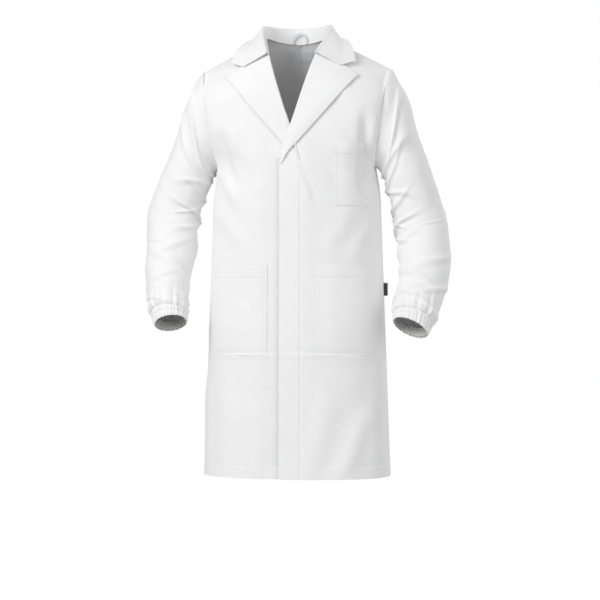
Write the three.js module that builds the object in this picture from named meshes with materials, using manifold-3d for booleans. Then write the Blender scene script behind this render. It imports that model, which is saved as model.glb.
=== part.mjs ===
// A long-sleeved lab coat as it hangs when worn: notch lapels, hidden button fly, patch pockets,
// gathered cuffs and a centre-back vent. Every sewn piece is its own closed solid.
// Millimetres, +Z up. The front faces -Y and the wearer's left is +X. The origin is where a peg
// carries the hanging loop, inside the back of the neck.
import * as THREE from "three";
import Module from "manifold-3d";
import { mergeVertices } from "three/addons/utils/BufferGeometryUtils.js";

const wasm = await Module();
wasm.setup();

// ---- Driving dimensions. Heights are from the nape seam, depths from the side seams. ----
const CLOTH = 1.2; // one layer of cloth with its seam allowances pressed flat
const SEAM_GAP = 0.8; // clearance between two pieces that are sewn edge to edge
const SWING_GAP = 2; // the same round a piece that swings
const LAYER_GAP = 1.2; // clearance between two layers that lie on each other
const COAT_LENGTH = 1050; // nape to hem
const SQUARENESS = 2.3; // superellipse power of the body's cross-section

const SHOULDER_WIDTH = 228; // centre to the shoulder point
const SHOULDER_DROP = 75; // nape down to the shoulder point
const NECK_WIDTH = 74; // centre to the neck end of the shoulder seam
const NECK_RISE = 4; // that end above the nape
const SHOULDER_ROUNDING = 130; // how far below the seam the shoulder reaches its full depth

const ARMPIT_WIDTH = 190;
const ARMPIT_DROP = 310;
const ARMHOLE_FRONT = 72; // depth of the armhole in front of the side seam
const ARMHOLE_BACK = 80;

const SIDE_TOP_WIDTH = 203; // the side seam is straight from here down, so the fronts can hinge on it
const SIDE_TOP_DROP = 400;
const HEM_WIDTH = 226;

const FRONT_SPLIT = 415; // the fronts swing from here down
const VENT_TOP = 650; // the back vent opens from here down
const HEM_DEPTH = 29;

const OVERLAP = 24; // each front reaches this far past the centre
const BREAK_DROP = 306; // where the lapel's roll line meets the front edge
const UNDER_SINK = 5; // the right front lies this far inside the body's surface at the overlap
const OVER_RISE = 3.5; // and the left front this far outside it
const OVERLAP_FADE = [30, 80]; // both ramp away between these distances from the centre

const LAPEL_TIP = [156, -99];
const NOTCH = [117, -75];
const COLLAR_TIP = [154, -62];
const GORGE_DROP = 47; // where the gorge seam meets the roll line
const LAPEL_LIFT = 5; // the lapel's rise off the chest it lies on
const STAND_HEIGHT = 32;
const FOLD_RADIUS = 4;
const COLLAR_CLOTH = 0.9;
const COLLAR_PITCH = 1.7; // between the collar's layers
const INTERLINING = 0.7;
const COLLAR_LIFT = 10; // the collar's rise off the chest, clear of the lapel

const BUTTON_COUNT = 5;
const BUTTON_TOP = 345;
const BUTTON_PITCH = 113;
const BUTTON_RADIUS = 9;
const BUTTON_THICK = 2.6;
const THREAD_HOLE_RADIUS = 1;
const THREAD_HOLE_SPACING = 2.6;
const BUTTONHOLE = [3, 21];
const FLY_HALF_WIDTH = 21;

const HIP_POCKET = { inner: 54, width: 156, top: 547, drop: 213, bulge: 11 };
const BREAST_POCKET = { inner: 106, width: 88, top: 257, drop: 150, bulge: 10 };
const POCKET_HEM = 30;
const SEWN_GAP = 1.4 * (SHOULDER_WIDTH / 228); // between a patch's sewn edge and the cloth under it

const VENT_OVERLAP = 20;
const VENT_RISE = 3;
const VENT_SINK = 3;

const CUFF_HEIGHT_SHARE = 0.06; // of the sleeve's length, from the wrist up
const ELASTIC_INSET = 2.1;
const OUTER_SLEEVE_HALF_ANGLE = THREE.MathUtils.degToRad(110);

const LOOP_WIDTH = 40;
const LOOP_RISE = 22;
const LOOP_TAPE = 6;
const LOOP_SETBACK = 10; // the tape lies this far in front of the nape seam

const LABEL_SIZE = [60, 24];
const SIDE_LABEL = { top: 588, height: 31, reach: 9 };

// Front and back depth of the body at heights below the nape.
const FRONT_DEPTH = [[-1050, 134], [-760, 132], [-510, 124], [-310, 127], [-200, 121], [-100, 108], [10, 78]];
const BACK_DEPTH = [[-1050, 122], [-760, 116], [-510, 98], [-310, 112], [-200, 112], [-100, 100], [10, 83]];

// Sleeve rings from the armhole to the cuff: how far the outer edge lies from the shoulder point (x, z) and
// the inner edge from the armpit (x, z), then the depth of the ring's centre and its half depth.
const ARMHOLE_SLANT = (SHOULDER_WIDTH - ARMPIT_WIDTH) / 38; // a steeper armhole needs the sleeve further out
const ARMHOLE_RING = [ARMHOLE_SLANT, 0, 5 * ARMHOLE_SLANT, 0, 4, 76];
const LEFT_SLEEVE = [
  ARMHOLE_RING,
  [38, -65, 18, -24, 6, 72],
  [70, -170, 24, -52, 8, 67],
  [104, -270, 36, -88, 11, 63],
  [134, -370, 46, -146, 14, 62],
  [142, -445, 57, -210, -6, 60],
  [138, -515, 58, -278, -42, 56],
  [118, -580, 50, -330, -80, 48],
  [94, -637, 53, -366, -112, 34],
];
const RIGHT_SLEEVE = [
  ARMHOLE_RING,
  [38, -65, 16, -15, 6, 72],
  [74, -170, 24, -36, 8, 67],
  [112, -257, 40, -70, 11, 63],
  [142, -337, 54, -120, 14, 62],
  [142, -420, 58, -194, -6, 60],
  [136, -500, 66, -270, -42, 56],
  [122, -560, 64, -330, -80, 48],
  [98, -617, 60, -366, -112, 34],
];
const ELBOW_RING = 4;
const ELBOW_REACH = 0.75; // rings above and below the elbow over which the cloth folds as it bends
const ARMHOLE_START = 0.01; // share of the sleeve left clear at the armhole seam

const COLOURS = {
  cloth: 0xf2f3f4,
  lining: 0xe9eaec,
  tape: 0xdfe1e4,
  label: 0x4a4d52,
  button: 0xf4f4f0,
  elastic: 0xe4e4e2,
};

// ---- The body's surface ----
const { clamp, lerp, smoothstep } = THREE.MathUtils;

// A smooth curve through (height, value) stations.
function profile(stations) {
  return (z) => {
    const last = stations.length - 1;
    let i = stations.findIndex(([height]) => height > z) - 1;
    if (i < 0) i = z <= stations[0][0] ? 0 : last - 1;
    const [z0, v0] = stations[i];
    const [z1, v1] = stations[i + 1];
    const slope = (k) => {
      const a = stations[Math.max(k - 1, 0)];
      const b = stations[Math.min(k + 1, last)];
      return (b[1] - a[1]) / (b[0] - a[0]);
    };
    const t = clamp((z - z0) / (z1 - z0), 0, 1);
    const span = z1 - z0;
    return (
      v0 * (2 * t ** 3 - 3 * t ** 2 + 1) + v1 * (3 * t ** 2 - 2 * t ** 3) +
      slope(i) * span * (t ** 3 - 2 * t ** 2 + t) + slope(i + 1) * span * (t ** 3 - t ** 2)
    );
  };
}

const frontDepth = profile(FRONT_DEPTH);
const backDepth = profile(BACK_DEPTH);

const sideWidth = (z) =>
  lerp(SIDE_TOP_WIDTH, HEM_WIDTH, (-z - SIDE_TOP_DROP) / (COAT_LENGTH - SIDE_TOP_DROP));

// Half width of the body: the armhole's slanting plane above the armpit, the side seam below it.
function halfWidth(z) {
  if (z > -ARMPIT_DROP) {
    const up = clamp((z + ARMPIT_DROP) / (ARMPIT_DROP - SHOULDER_DROP), 0, 1);
    return lerp(ARMPIT_WIDTH, SHOULDER_WIDTH, up);
  }
  const tuck = clamp((z + SIDE_TOP_DROP) / (SIDE_TOP_DROP - ARMPIT_DROP), 0, 1);
  return sideWidth(z) - (sideWidth(-ARMPIT_DROP) - ARMPIT_WIDTH) * tuck ** 2;
}

const SHOULDER_SLOPE = (SHOULDER_DROP + NECK_RISE) / (SHOULDER_WIDTH - NECK_WIDTH);
const shoulderHeight = (x) => NECK_RISE - SHOULDER_SLOPE * (Math.abs(x) - NECK_WIDTH);

function armholeDepth(z, deepest) {
  const middle = -(SHOULDER_DROP + ARMPIT_DROP) / 2;
  const off = (z - middle) / ((ARMPIT_DROP - SHOULDER_DROP) / 2);
  return Math.abs(off) < 1 ? deepest * Math.sqrt(1 - off * off) : 0;
}

const across = (share) => Math.sin((Math.abs(share) * Math.PI) / 2) ** (2 / SQUARENESS);
const forward = (share) => Math.cos((Math.abs(share) * Math.PI) / 2) ** (2 / SQUARENESS);

// The share (0 at the centre, 1 at the side seam) at which the body's surface is x wide.
function shareAt(x, z) {
  const part = clamp(Math.abs(x) / halfWidth(z), 0, 1) ** (SQUARENESS / 2);
  return (Math.sign(x) * Math.asin(part) * 2) / Math.PI;
}

// A point of the body's surface. facing is -1 for the front and 1 for the back.
function bodyPoint(share, z, facing) {
  const x = Math.sign(share) * halfWidth(z) * across(share);
  const below = clamp((shoulderHeight(x) - z) / SHOULDER_ROUNDING, 0, 1);
  const depth = (facing < 0 ? frontDepth(z) : backDepth(z)) * Math.sqrt(1 - (1 - below) ** 2);
  const edge = armholeDepth(z, facing < 0 ? ARMHOLE_FRONT : ARMHOLE_BACK);
  return new THREE.Vector3(x, facing * (edge + (depth - edge) * forward(share)), z);
}

// Share along the front or back, at height z, that lies `length` of cloth further out than `from`.
function shareAfter(from, length, z, facing) {
  const step = 0.004;
  let share = from;
  let travelled = 0;
  while (travelled < length && share < 1) {
    travelled += bodyPoint(share, z, facing).distanceTo(bodyPoint(share + step, z, facing));
    share += step;
  }
  return share;
}

// ---- Making solids ----
// The unit normal of surface(u, v), by differences.
function normalAt(surface, u, v) {
  const step = 1e-3;
  const [u0, u1] = [Math.max(u - step, 0), Math.min(u + step, 1)];
  const [v0, v1] = [Math.max(v - step, 0), Math.min(v + step, 1)];
  const du = surface(u1, v).sub(surface(u0, v));
  const dv = surface(u, v1).sub(surface(u, v0));
  return du.cross(dv).normalize();
}

function spanOf(surface, alongU) {
  let length = 0;
  for (let i = 0; i < 16; i++) {
    const a = alongU ? surface(i / 16, 0.5) : surface(0.5, i / 16);
    const b = alongU ? surface((i + 1) / 16, 0.5) : surface(0.5, (i + 1) / 16);
    length += a.distanceTo(b);
  }
  return length;
}

const liftAt = (lift, u, v) => (typeof lift === "function" ? lift(u, v) : lift);

function bent(geometry, place) {
  const position = geometry.attributes.position;
  const at = new THREE.Vector3();
  for (let i = 0; i < position.count; i++) {
    at.fromBufferAttribute(position, i);
    position.setXYZ(i, ...place(at).toArray());
  }
  position.needsUpdate = true;
  geometry.computeVertexNormals();
  return geometry;
}

// One cut piece of cloth: a thin box bent onto surface(u, v), drawn in from its seams by half the gap.
function panel(surface, { columns = 8, rows = 8, thickness = CLOTH, lift = 0, gap = SEAM_GAP } = {}) {
  const insetU = gap / 2 / spanOf(surface, true);
  const insetV = gap / 2 / spanOf(surface, false);
  return bent(new THREE.BoxGeometry(1, 1, 1, columns, rows, 1), (p) => {
    const u = lerp(insetU, 1 - insetU, p.x + 0.5);
    const v = lerp(insetV, 1 - insetV, p.y + 0.5);
    const out = liftAt(lift, u, v) + p.z * thickness;
    return surface(u, v).addScaledVector(normalAt(surface, u, v), out);
  });
}

// A closed band: a lathed ring bent onto surface(turn, v), where turn runs once round.
function band(surface, { columns = 28, rows = 2, thickness = CLOTH, lift = 0 } = {}) {
  const profilePoints = [new THREE.Vector2(1, 0)];
  for (let i = 0; i <= rows; i++) profilePoints.push(new THREE.Vector2(2, i / rows));
  for (let i = rows; i >= 0; i--) profilePoints.push(new THREE.Vector2(1, i / rows));
  return bent(new THREE.LatheGeometry(profilePoints, columns), (p) => {
    const turn = (Math.atan2(p.x, p.z) / (2 * Math.PI) + 1) % 1;
    const v = p.y;
    const out = lift + (Math.hypot(p.x, p.z) - 1.5) * thickness;
    return surface(turn, v).addScaledVector(normalAt(surface, clamp(turn, 0.002, 0.998), v), out);
  });
}

function toSolid(geometry) {
  const bare = geometry.clone();
  bare.deleteAttribute("normal");
  bare.deleteAttribute("uv");
  const merged = mergeVertices(bare, 1e-3);
  return new wasm.Manifold(
    new wasm.Mesh({
      numProp: 3,
      vertProperties: merged.attributes.position.array,
      triVerts: new Uint32Array(merged.index.array),
    }),
  );
}

// The first geometry with the others cut out of it.
function cut(geometry, tools) {
  const mesh = tools.reduce((solid, tool) => solid.subtract(toSolid(tool)), toSolid(geometry)).getMesh();
  const made = new THREE.BufferGeometry();
  const points = new THREE.BufferAttribute(new Float32Array(mesh.vertProperties), mesh.numProp);
  made.setAttribute("position", points);
  made.setIndex(new THREE.BufferAttribute(new Uint32Array(mesh.triVerts), 1));
  made.computeVertexNormals();
  return made;
}

const coat = new THREE.Group();
const leftSide = new THREE.Group();
const rightSide = new THREE.Group();
rightSide.scale.x = -1; // the wearer's right is drawn on +X and mirrored
coat.add(leftSide, rightSide);

function addPiece(group, name, geometry, colour = COLOURS.cloth, roughness = 0.85) {
  const material = new THREE.MeshStandardMaterial({ color: colour, roughness, metalness: 0 });
  const mesh = new THREE.Mesh(geometry, material);
  mesh.name = name;
  group.add(mesh);
  return mesh;
}

// ---- Fronts ----
const overlapShare = (x) => 1 - smoothstep(Math.abs(x), ...OVERLAP_FADE);
const overlapHeight = (z) => 1 - smoothstep(z, -BREAK_DROP + 60, -BREAK_DROP + 150);

// How far a front lies off the body's surface: the left laps over the right.
function frontLift(onTop) {
  return (x, z) => (onTop ? OVER_RISE : -UNDER_SINK) * overlapShare(x) * overlapHeight(z);
}

// The front edge below the break point, and the lapel's roll line above it.
function frontEdge(z) {
  const up = clamp((z + BREAK_DROP) / (BREAK_DROP + NECK_RISE), 0, 1);
  return lerp(-OVERLAP, NECK_WIDTH, up);
}

// Rows crowd towards the shoulder seam, where the cloth turns from upright to nearly level.
const crowded = (row) => 1 - (1 - row * 0.994) ** 2;

// A front from height `low` up to `high`, or to the shoulder seam where high is null.
function frontSurface(low, high) {
  return (u, row) => {
    const v = high === null ? crowded(row) : row;
    if (high !== null) {
      const z = lerp(low, high, v);
      return bodyPoint(lerp(shareAt(frontEdge(z), z), 1, u), z, -1);
    }
    const top = (share) => shoulderHeight(SHOULDER_WIDTH * across(share));
    const neckShare = shareAt(NECK_WIDTH, NECK_RISE);
    const topShare = lerp(neckShare, 1, u);
    const edgeHeight = lerp(low, NECK_RISE, v);
    const edgeShare = shareAt(frontEdge(edgeHeight), edgeHeight);
    const bottomShare = lerp(shareAt(frontEdge(low), low), 1, u);
    // A Coons patch in (share, height) between the front edge, armhole, split line and shoulder seam.
    const share =
      lerp(bottomShare, topShare, v) + lerp(edgeShare, 1, u) -
      lerp(lerp(shareAt(frontEdge(low), low), neckShare, v), 1, u);
    const height =
      lerp(low, top(topShare), v) + lerp(edgeHeight, lerp(low, -SHOULDER_DROP, v), u) -
      lerp(lerp(low, NECK_RISE, v), lerp(low, -SHOULDER_DROP, v), u);
    return bodyPoint(share, height, -1);
  };
}

function onSurface(surface, lift, extra = 0) {
  return (u, v) => {
    const p = surface(u, v);
    return lift(p.x, p.z) + extra;
  };
}

// The turned-up layer inside a hem.
function hemPanel(surface, lift) {
  const inside = onSurface(surface, lift, -(CLOTH + LAYER_GAP));
  return panel(surface, { columns: 12, rows: 1, gap: SWING_GAP, lift: inside });
}

function frontPieces(group, side, onTop) {
  const lift = frontLift(onTop);
  const chest = frontSurface(-FRONT_SPLIT, null);
  addPiece(group, `${side}_front_chest`, panel(chest, {
    columns: 20, rows: 14, lift: onSurface(chest, lift),
  }));
  const skirt = frontSurface(-COAT_LENGTH, -FRONT_SPLIT);
  addPiece(group, `${side}_front_skirt`, panel(skirt, {
    columns: 12, rows: 8, gap: SWING_GAP, lift: onSurface(skirt, lift),
  }));
  const hem = frontSurface(-COAT_LENGTH, -COAT_LENGTH + HEM_DEPTH);
  addPiece(group, `${side}_front_hem`, hemPanel(hem, lift));
}

// ---- Backs ----
function backSurface(low, high, centre) {
  return (u, v) => {
    const z = lerp(low, high, v);
    return bodyPoint(lerp(1, shareAt(centre, z), u), z, 1);
  };
}

// The upper back runs from the vent to the shoulder seam and the back of the neck.
function upperBackSurface(u, row) {
  const v = crowded(row);
  const topX = lerp(SHOULDER_WIDTH, 0, u);
  const topHeight = topX > NECK_WIDTH ? shoulderHeight(topX) : lerp(0, NECK_RISE, (topX / NECK_WIDTH) ** 2);
  const low = -VENT_TOP;
  const z = lerp(low, topHeight, v);
  const share = lerp(lerp(1, 0, u), shareAt(topX, -SHOULDER_DROP), smoothstep(v, 0.55, 1));
  return bodyPoint(share, z, 1);
}

function backPieces(group, side, onTop) {
  addPiece(group, `${side}_upper_back`, panel(upperBackSurface, { columns: 12, rows: 15 }));
  const lift = (x) => (onTop ? VENT_RISE : -VENT_SINK) * (1 - smoothstep(Math.abs(x), 25, 70));
  const vent = backSurface(-COAT_LENGTH, -VENT_TOP, -VENT_OVERLAP);
  addPiece(group, `${side}_vent_panel`, panel(vent, {
    columns: 12, rows: 5, gap: SWING_GAP, lift: onSurface(vent, lift),
  }));
  const hem = backSurface(-COAT_LENGTH, -COAT_LENGTH + HEM_DEPTH, -VENT_OVERLAP);
  addPiece(group, `${side}_back_hem`, hemPanel(hem, lift));
}

// ---- Lapels and collar ----
function coons(bottom, top, left, right) {
  return (u, v) =>
    bottom(u).multiplyScalar(1 - v).addScaledVector(top(u), v)
      .addScaledVector(left(v), 1 - u).addScaledVector(right(v), u)
      .addScaledVector(bottom(0), -(1 - u) * (1 - v)).addScaledVector(bottom(1), -u * (1 - v))
      .addScaledVector(top(0), -(1 - u) * v).addScaledVector(top(1), -u * v);
}

const flatCurve = (points) => {
  const spots = points.map(([x, z]) => new THREE.Vector3(x, 0, z));
  const curve = new THREE.CatmullRomCurve3(spots, false, "centripetal");
  return (t) => curve.getPoint(t);
};
const flatPath = (points) => {
  const path = new THREE.CurvePath();
  for (let i = 1; i < points.length; i++) {
    const [a, b] = [points[i - 1], points[i]].map(([x, z]) => new THREE.Vector3(x, 0, z));
    path.add(new THREE.LineCurve3(a, b));
  }
  return (t) => path.getPoint(t);
};
const gorgePoint = [frontEdge(-GORGE_DROP), -GORGE_DROP];

function lapelSurface(u, v) {
  const roll = (t) => {
    const z = lerp(-BREAK_DROP + 8, -GORGE_DROP, t);
    return new THREE.Vector3(frontEdge(z), 0, z);
  };
  const start = [[-OVERLAP + 4, -BREAK_DROP - 4], [-4, -BREAK_DROP + 24], [22, -BREAK_DROP + 52]];
  const edge = flatCurve([...start, LAPEL_TIP]);
  const bottom = (t) => roll(0).lerp(edge(0), t);
  const top = flatPath([gorgePoint, NOTCH, LAPEL_TIP]);
  const flat = coons(bottom, top, roll, edge)(u, v);
  return bodyPoint(shareAt(flat.x, flat.z), flat.z, -1);
}

// Half of the collar, from the centre back (t = 0) to its front end (t = 1).
const chestPoint = ([x, z], off) => {
  const p = bodyPoint(shareAt(x, z), z, -1);
  return new THREE.Vector3(p.x, p.y - off, p.z);
};
const NAPE = bodyPoint(0, 0, 1);
// A curve out from the centre back, level where it crosses the centre.
const halfCurve = (points) => {
  const mirrored = points[1].clone().multiply(new THREE.Vector3(-1, 1, 1));
  const curve = new THREE.CatmullRomCurve3([mirrored, ...points], false, "centripetal");
  const skip = 1 / points.length;
  return (t) => curve.getPoint(skip + (1 - skip) * t);
};
const curveThrough = (points) => {
  const curve = new THREE.CatmullRomCurve3(points, false, "centripetal");
  return (t) => curve.getPoint(t);
};
const GORGE = chestPoint(gorgePoint, COLLAR_LIFT);
const SHOULDER_EDGE = 114; // where the collar's edge crosses the shoulder seam
const neckSeam = halfCurve([
  new THREE.Vector3(0, NAPE.y - 2, 1),
  new THREE.Vector3(50, 34, 5),
  new THREE.Vector3(NECK_WIDTH - 4, -2, 8),
  new THREE.Vector3(68, -42, -8),
  new THREE.Vector3(GORGE.x - 3, GORGE.y, GORGE.z + 3),
]);
const rollLine = halfCurve([
  new THREE.Vector3(0, NAPE.y + 6, STAND_HEIGHT),
  new THREE.Vector3(56, 44, STAND_HEIGHT + 1),
  new THREE.Vector3(82, 2, STAND_HEIGHT - 2),
  new THREE.Vector3(77, -40, 2),
  new THREE.Vector3(GORGE.x + 2, GORGE.y - 2, GORGE.z + 3),
]);
const collarEdge = halfCurve([
  new THREE.Vector3(0, NAPE.y + 26, -16),
  new THREE.Vector3(64, 62, -14),
  new THREE.Vector3(SHOULDER_EDGE, 2, shoulderHeight(SHOULDER_EDGE) + COLLAR_LIFT + 3),
  new THREE.Vector3(144, -37, -30),
  chestPoint(COLLAR_TIP, COLLAR_LIFT + 5),
]);

// Share of the collar's cross-section taken by the stand, and by the stand with the fold.
const STAND_END = 0.35;
const FOLD_END = 0.5;

function collarSurface(u, v) {
  const t = Math.abs(2 * u - 1);
  const mirror = u < 0.5 ? -1 : 1;
  const seam = neckSeam(t);
  const roll = rollLine(t);
  const outward = new THREE.Vector3(roll.x, roll.y * 1.6, 0).normalize();
  const radius = FOLD_RADIUS * (1 - 0.35 * t);
  let p;
  if (v < STAND_END) {
    p = seam.lerp(roll.clone().addScaledVector(outward, -radius), v / STAND_END);
  } else if (v < FOLD_END) {
    const turn = (Math.PI * (v - STAND_END)) / (FOLD_END - STAND_END);
    p = roll.addScaledVector(outward, -radius * Math.cos(turn));
    p.z += radius * Math.sin(turn);
  } else {
    const w = (v - FOLD_END) / (1 - FOLD_END);
    const start = (s) => {
      const r = rollLine(s);
      const away = new THREE.Vector3(r.x, r.y * 1.6, 0).normalize();
      return r.addScaledVector(away, FOLD_RADIUS * (1 - 0.35 * s));
    };
    const back = (s) => start(0).lerp(collarEdge(0), s);
    const notch = chestPoint(NOTCH, COLLAR_LIFT + 2);
    const toTip = (s) => notch.clone().lerp(collarEdge(1), (s - 0.55) / 0.45);
    const end = (s) => (s < 0.55 ? start(1).lerp(notch, s / 0.55) : toTip(s));
    p = coons(start, collarEdge, back, end)(t, w);
  }
  p.x *= mirror;
  return p;
}

function collarPieces() {
  const layer = { columns: 36, rows: 10, thickness: COLLAR_CLOTH };
  addPiece(coat, "upper_collar", panel(collarSurface, { ...layer, lift: COLLAR_PITCH }));
  addPiece(coat, "under_collar", panel(collarSurface, { ...layer, lift: -COLLAR_PITCH }));
  // The interlining stiffens only the part that falls over, short of the fold and of the edges.
  const fall = (u, v) => collarSurface(lerp(1 / 6, 5 / 6, u), lerp(0.6, 0.9, v));
  const stiffener = { columns: 24, rows: 3, gap: 0, thickness: INTERLINING };
  addPiece(coat, "collar_interlining", panel(fall, stiffener), COLOURS.lining);
}

function lapelPiece(group, side, onTop) {
  const lift = frontLift(onTop);
  addPiece(group, `${side}_lapel`, panel(lapelSurface, {
    columns: 9, rows: 13, lift: onSurface(lapelSurface, lift, LAPEL_LIFT),
  }));
}

// ---- Fly, buttons and facing ----
function stripSurface(low, high, halfWide) {
  return (u, v) => {
    const z = lerp(low, high, v);
    return bodyPoint(shareAt(lerp(-halfWide, halfWide, u), z), z, -1);
  };
}

const buttonHeights = Array.from({ length: BUTTON_COUNT }, (_, i) => -(BUTTON_TOP + i * BUTTON_PITCH));

function flyPieces() {
  const under = OVER_RISE - CLOTH - LAYER_GAP;
  const strips = [
    ["fly_strip_top", -FRONT_SPLIT, -BREAK_DROP - 14],
    ["fly_strip", buttonHeights[BUTTON_COUNT - 1] - 40, -FRONT_SPLIT],
  ];
  for (const [name, low, high] of strips) {
    const surface = stripSurface(low, high, FLY_HALF_WIDTH);
    const holes = buttonHeights.filter((z) => z > low && z < high).map((z) => {
      const slot = new THREE.BoxGeometry(BUTTONHOLE[0], 30, BUTTONHOLE[1]);
      return slot.translate(0, -frontDepth(z), z);
    });
    addPiece(leftSide, name, cut(panel(surface, { columns: 2, rows: 6, lift: under }), holes));
  }
}

function buttonGeometry() {
  const disc = new THREE.Shape().absarc(0, 0, BUTTON_RADIUS, 0, 2 * Math.PI);
  for (let i = 0; i < 4; i++) {
    const angle = Math.PI / 4 + (i * Math.PI) / 2;
    const [x, y] = [Math.cos(angle) * THREAD_HOLE_SPACING, Math.sin(angle) * THREAD_HOLE_SPACING];
    disc.holes.push(new THREE.Path().absarc(x, y, THREAD_HOLE_RADIUS, 0, 2 * Math.PI, true));
  }
  const options = { depth: BUTTON_THICK, bevelEnabled: false, curveSegments: 5 };
  return new THREE.ExtrudeGeometry(disc, options).rotateX(Math.PI / 2);
}

function buttonPieces() {
  buttonHeights.forEach((z, i) => {
    const button = addPiece(rightSide, `button_${i + 1}`, buttonGeometry(), COLOURS.button, 0.35);
    const inner = frontDepth(z) - UNDER_SINK + CLOTH / 2 + 0.6;
    button.position.set(0, -inner, z);
  });
}

function facingPiece() {
  const surface = stripSurface(-COAT_LENGTH + HEM_DEPTH, -FRONT_SPLIT, OVERLAP - 1);
  const lift = -(UNDER_SINK + CLOTH + LAYER_GAP);
  addPiece(rightSide, "right_front_facing", panel(surface, { columns: 2, rows: 8, lift }));
}

// ---- Pockets ----
// A patch sewn on three sides that stands off the cloth in the middle and at its mouth.
function pocketLift(pocket) {
  return (u, v) => {
    const sides = smoothstep(Math.min(u, 1 - u), 0, 0.16);
    const floor = smoothstep(v, 0, 0.12);
    return CLOTH + SEWN_GAP + pocket.bulge * sides * floor;
  };
}

function pocketPieces(group, name, pocket, onTop) {
  const low = -(pocket.top + pocket.drop);
  const high = -pocket.top;
  const surface = (u, v) => {
    const z = lerp(low, high, v);
    const inner = shareAt(pocket.inner, z);
    const outer = shareAfter(inner, pocket.width, (low + high) / 2, -1);
    return bodyPoint(lerp(inner, outer, u), z, -1);
  };
  const lift = frontLift(onTop);
  const patch = (u, v) => onSurface(surface, lift)(u, v) + pocketLift(pocket)(u, v);
  addPiece(group, name, panel(surface, { columns: 12, rows: 7, lift: patch }));
  const hemShare = POCKET_HEM / pocket.drop;
  const mouth = (u, v) => surface(lerp(0.17, 0.83, u), lerp(1 - hemShare, 1, v));
  const under = (u, v) => {
    const p = mouth(u, v);
    return lift(p.x, p.z) + SEWN_GAP + pocket.bulge - LAYER_GAP;
  };
  addPiece(group, `${name}_hem`, panel(mouth, { columns: 8, rows: 1, lift: under }));
}

// ---- Sleeves ----
function sleeveSurface(rings) {
  const shoulder = new THREE.Vector3(SHOULDER_WIDTH, 0, -SHOULDER_DROP);
  const armpit = new THREE.Vector3(ARMPIT_WIDTH, 0, -ARMPIT_DROP);
  const outer = curveThrough(rings.map(([x, z, , , y]) => new THREE.Vector3(x, y, z).add(shoulder)));
  const inner = curveThrough(rings.map(([, , x, z, y]) => new THREE.Vector3(x, y, z).add(armpit)));
  const deep = curveThrough(rings.map((ring, i) => new THREE.Vector3(i, ring[5], 0)));
  const centre = (t) => outer(t).add(inner(t)).multiplyScalar(0.5);
  const surface = (angle, t) => {
    const reach = outer(t).sub(inner(t)).multiplyScalar(0.5);
    const down = centre(Math.min(t + 0.01, 1)).sub(centre(Math.max(t - 0.01, 0)));
    const front = new THREE.Vector3().crossVectors(down, reach).normalize();
    const sideways = centre(t).addScaledVector(reach, Math.cos(angle));
    return sideways.addScaledVector(front, deep(t).y * Math.sin(angle));
  };
  return { surface, centre };
}

// A piece of sleeve between two angles (0 is the outer edge, positive to the front) and two stations.
function sleevePiece(surface, [angle0, angle1], [top, bottom]) {
  return (u, v) => surface(lerp(angle1, angle0, u), lerp(bottom, top, v));
}

function sleevePieces(group, side, rings) {
  const { surface } = sleeveSurface(rings);
  const ringShare = 1 / (rings.length - 1);
  const elbowTop = (ELBOW_RING - ELBOW_REACH) * ringShare;
  const elbowEnd = (ELBOW_RING + ELBOW_REACH) * ringShare;
  const cuff = 1 - CUFF_HEIGHT_SHARE;
  const half = OUTER_SLEEVE_HALF_ANGLE;
  const lengths = {
    upper_sleeve: [ARMHOLE_START, elbowTop],
    elbow: [elbowTop, elbowEnd],
    lower_sleeve: [elbowEnd, cuff],
  };
  const rows = { upper_sleeve: 6, elbow: 3, lower_sleeve: 5 };
  for (const part of Object.keys(lengths)) {
    const outer = sleevePiece(surface, [-half, half], lengths[part]);
    const under = sleevePiece(surface, [half, 2 * Math.PI - half], lengths[part]);
    addPiece(group, `${side}_${part}_outer`, panel(outer, { columns: 10, rows: rows[part] }));
    addPiece(group, `${side}_${part}_under`, panel(under, { columns: 7, rows: rows[part] }));
  }
  const cuffSurface = (turn, v) => surface(-turn * 2 * Math.PI, lerp(1, cuff + 0.004, v));
  addPiece(group, `${side}_cuff`, band(cuffSurface, { rows: 1 }));
  const elasticSurface = (turn, v) => surface(-turn * 2 * Math.PI, lerp(0.995, cuff + 0.01, v));
  const elastic = band(elasticSurface, { rows: 1, lift: -ELASTIC_INSET });
  addPiece(group, `${side}_cuff_elastic`, elastic, COLOURS.elastic);
}

// ---- Loop and labels ----
const LOOP_Y = NAPE.y - LOOP_SETBACK;

function loopPiece() {
  const arch = new THREE.Shape();
  const half = LOOP_WIDTH / 2;
  arch.moveTo(-half, 0);
  arch.quadraticCurveTo(-half, LOOP_RISE + LOOP_TAPE, 0, LOOP_RISE + LOOP_TAPE);
  arch.quadraticCurveTo(half, LOOP_RISE + LOOP_TAPE, half, 0);
  arch.lineTo(half - LOOP_TAPE, 0);
  arch.quadraticCurveTo(half - LOOP_TAPE, LOOP_RISE, 0, LOOP_RISE);
  arch.quadraticCurveTo(-half + LOOP_TAPE, LOOP_RISE, -half + LOOP_TAPE, 0);
  const tape = new THREE.ExtrudeGeometry(arch, { depth: CLOTH, bevelEnabled: false, curveSegments: 8 });
  const loop = addPiece(coat, "hang_loop", tape.rotateX(Math.PI / 2), COLOURS.tape);
  loop.position.set(0, LOOP_Y, -LOOP_RISE * 0.1);
}

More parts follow.
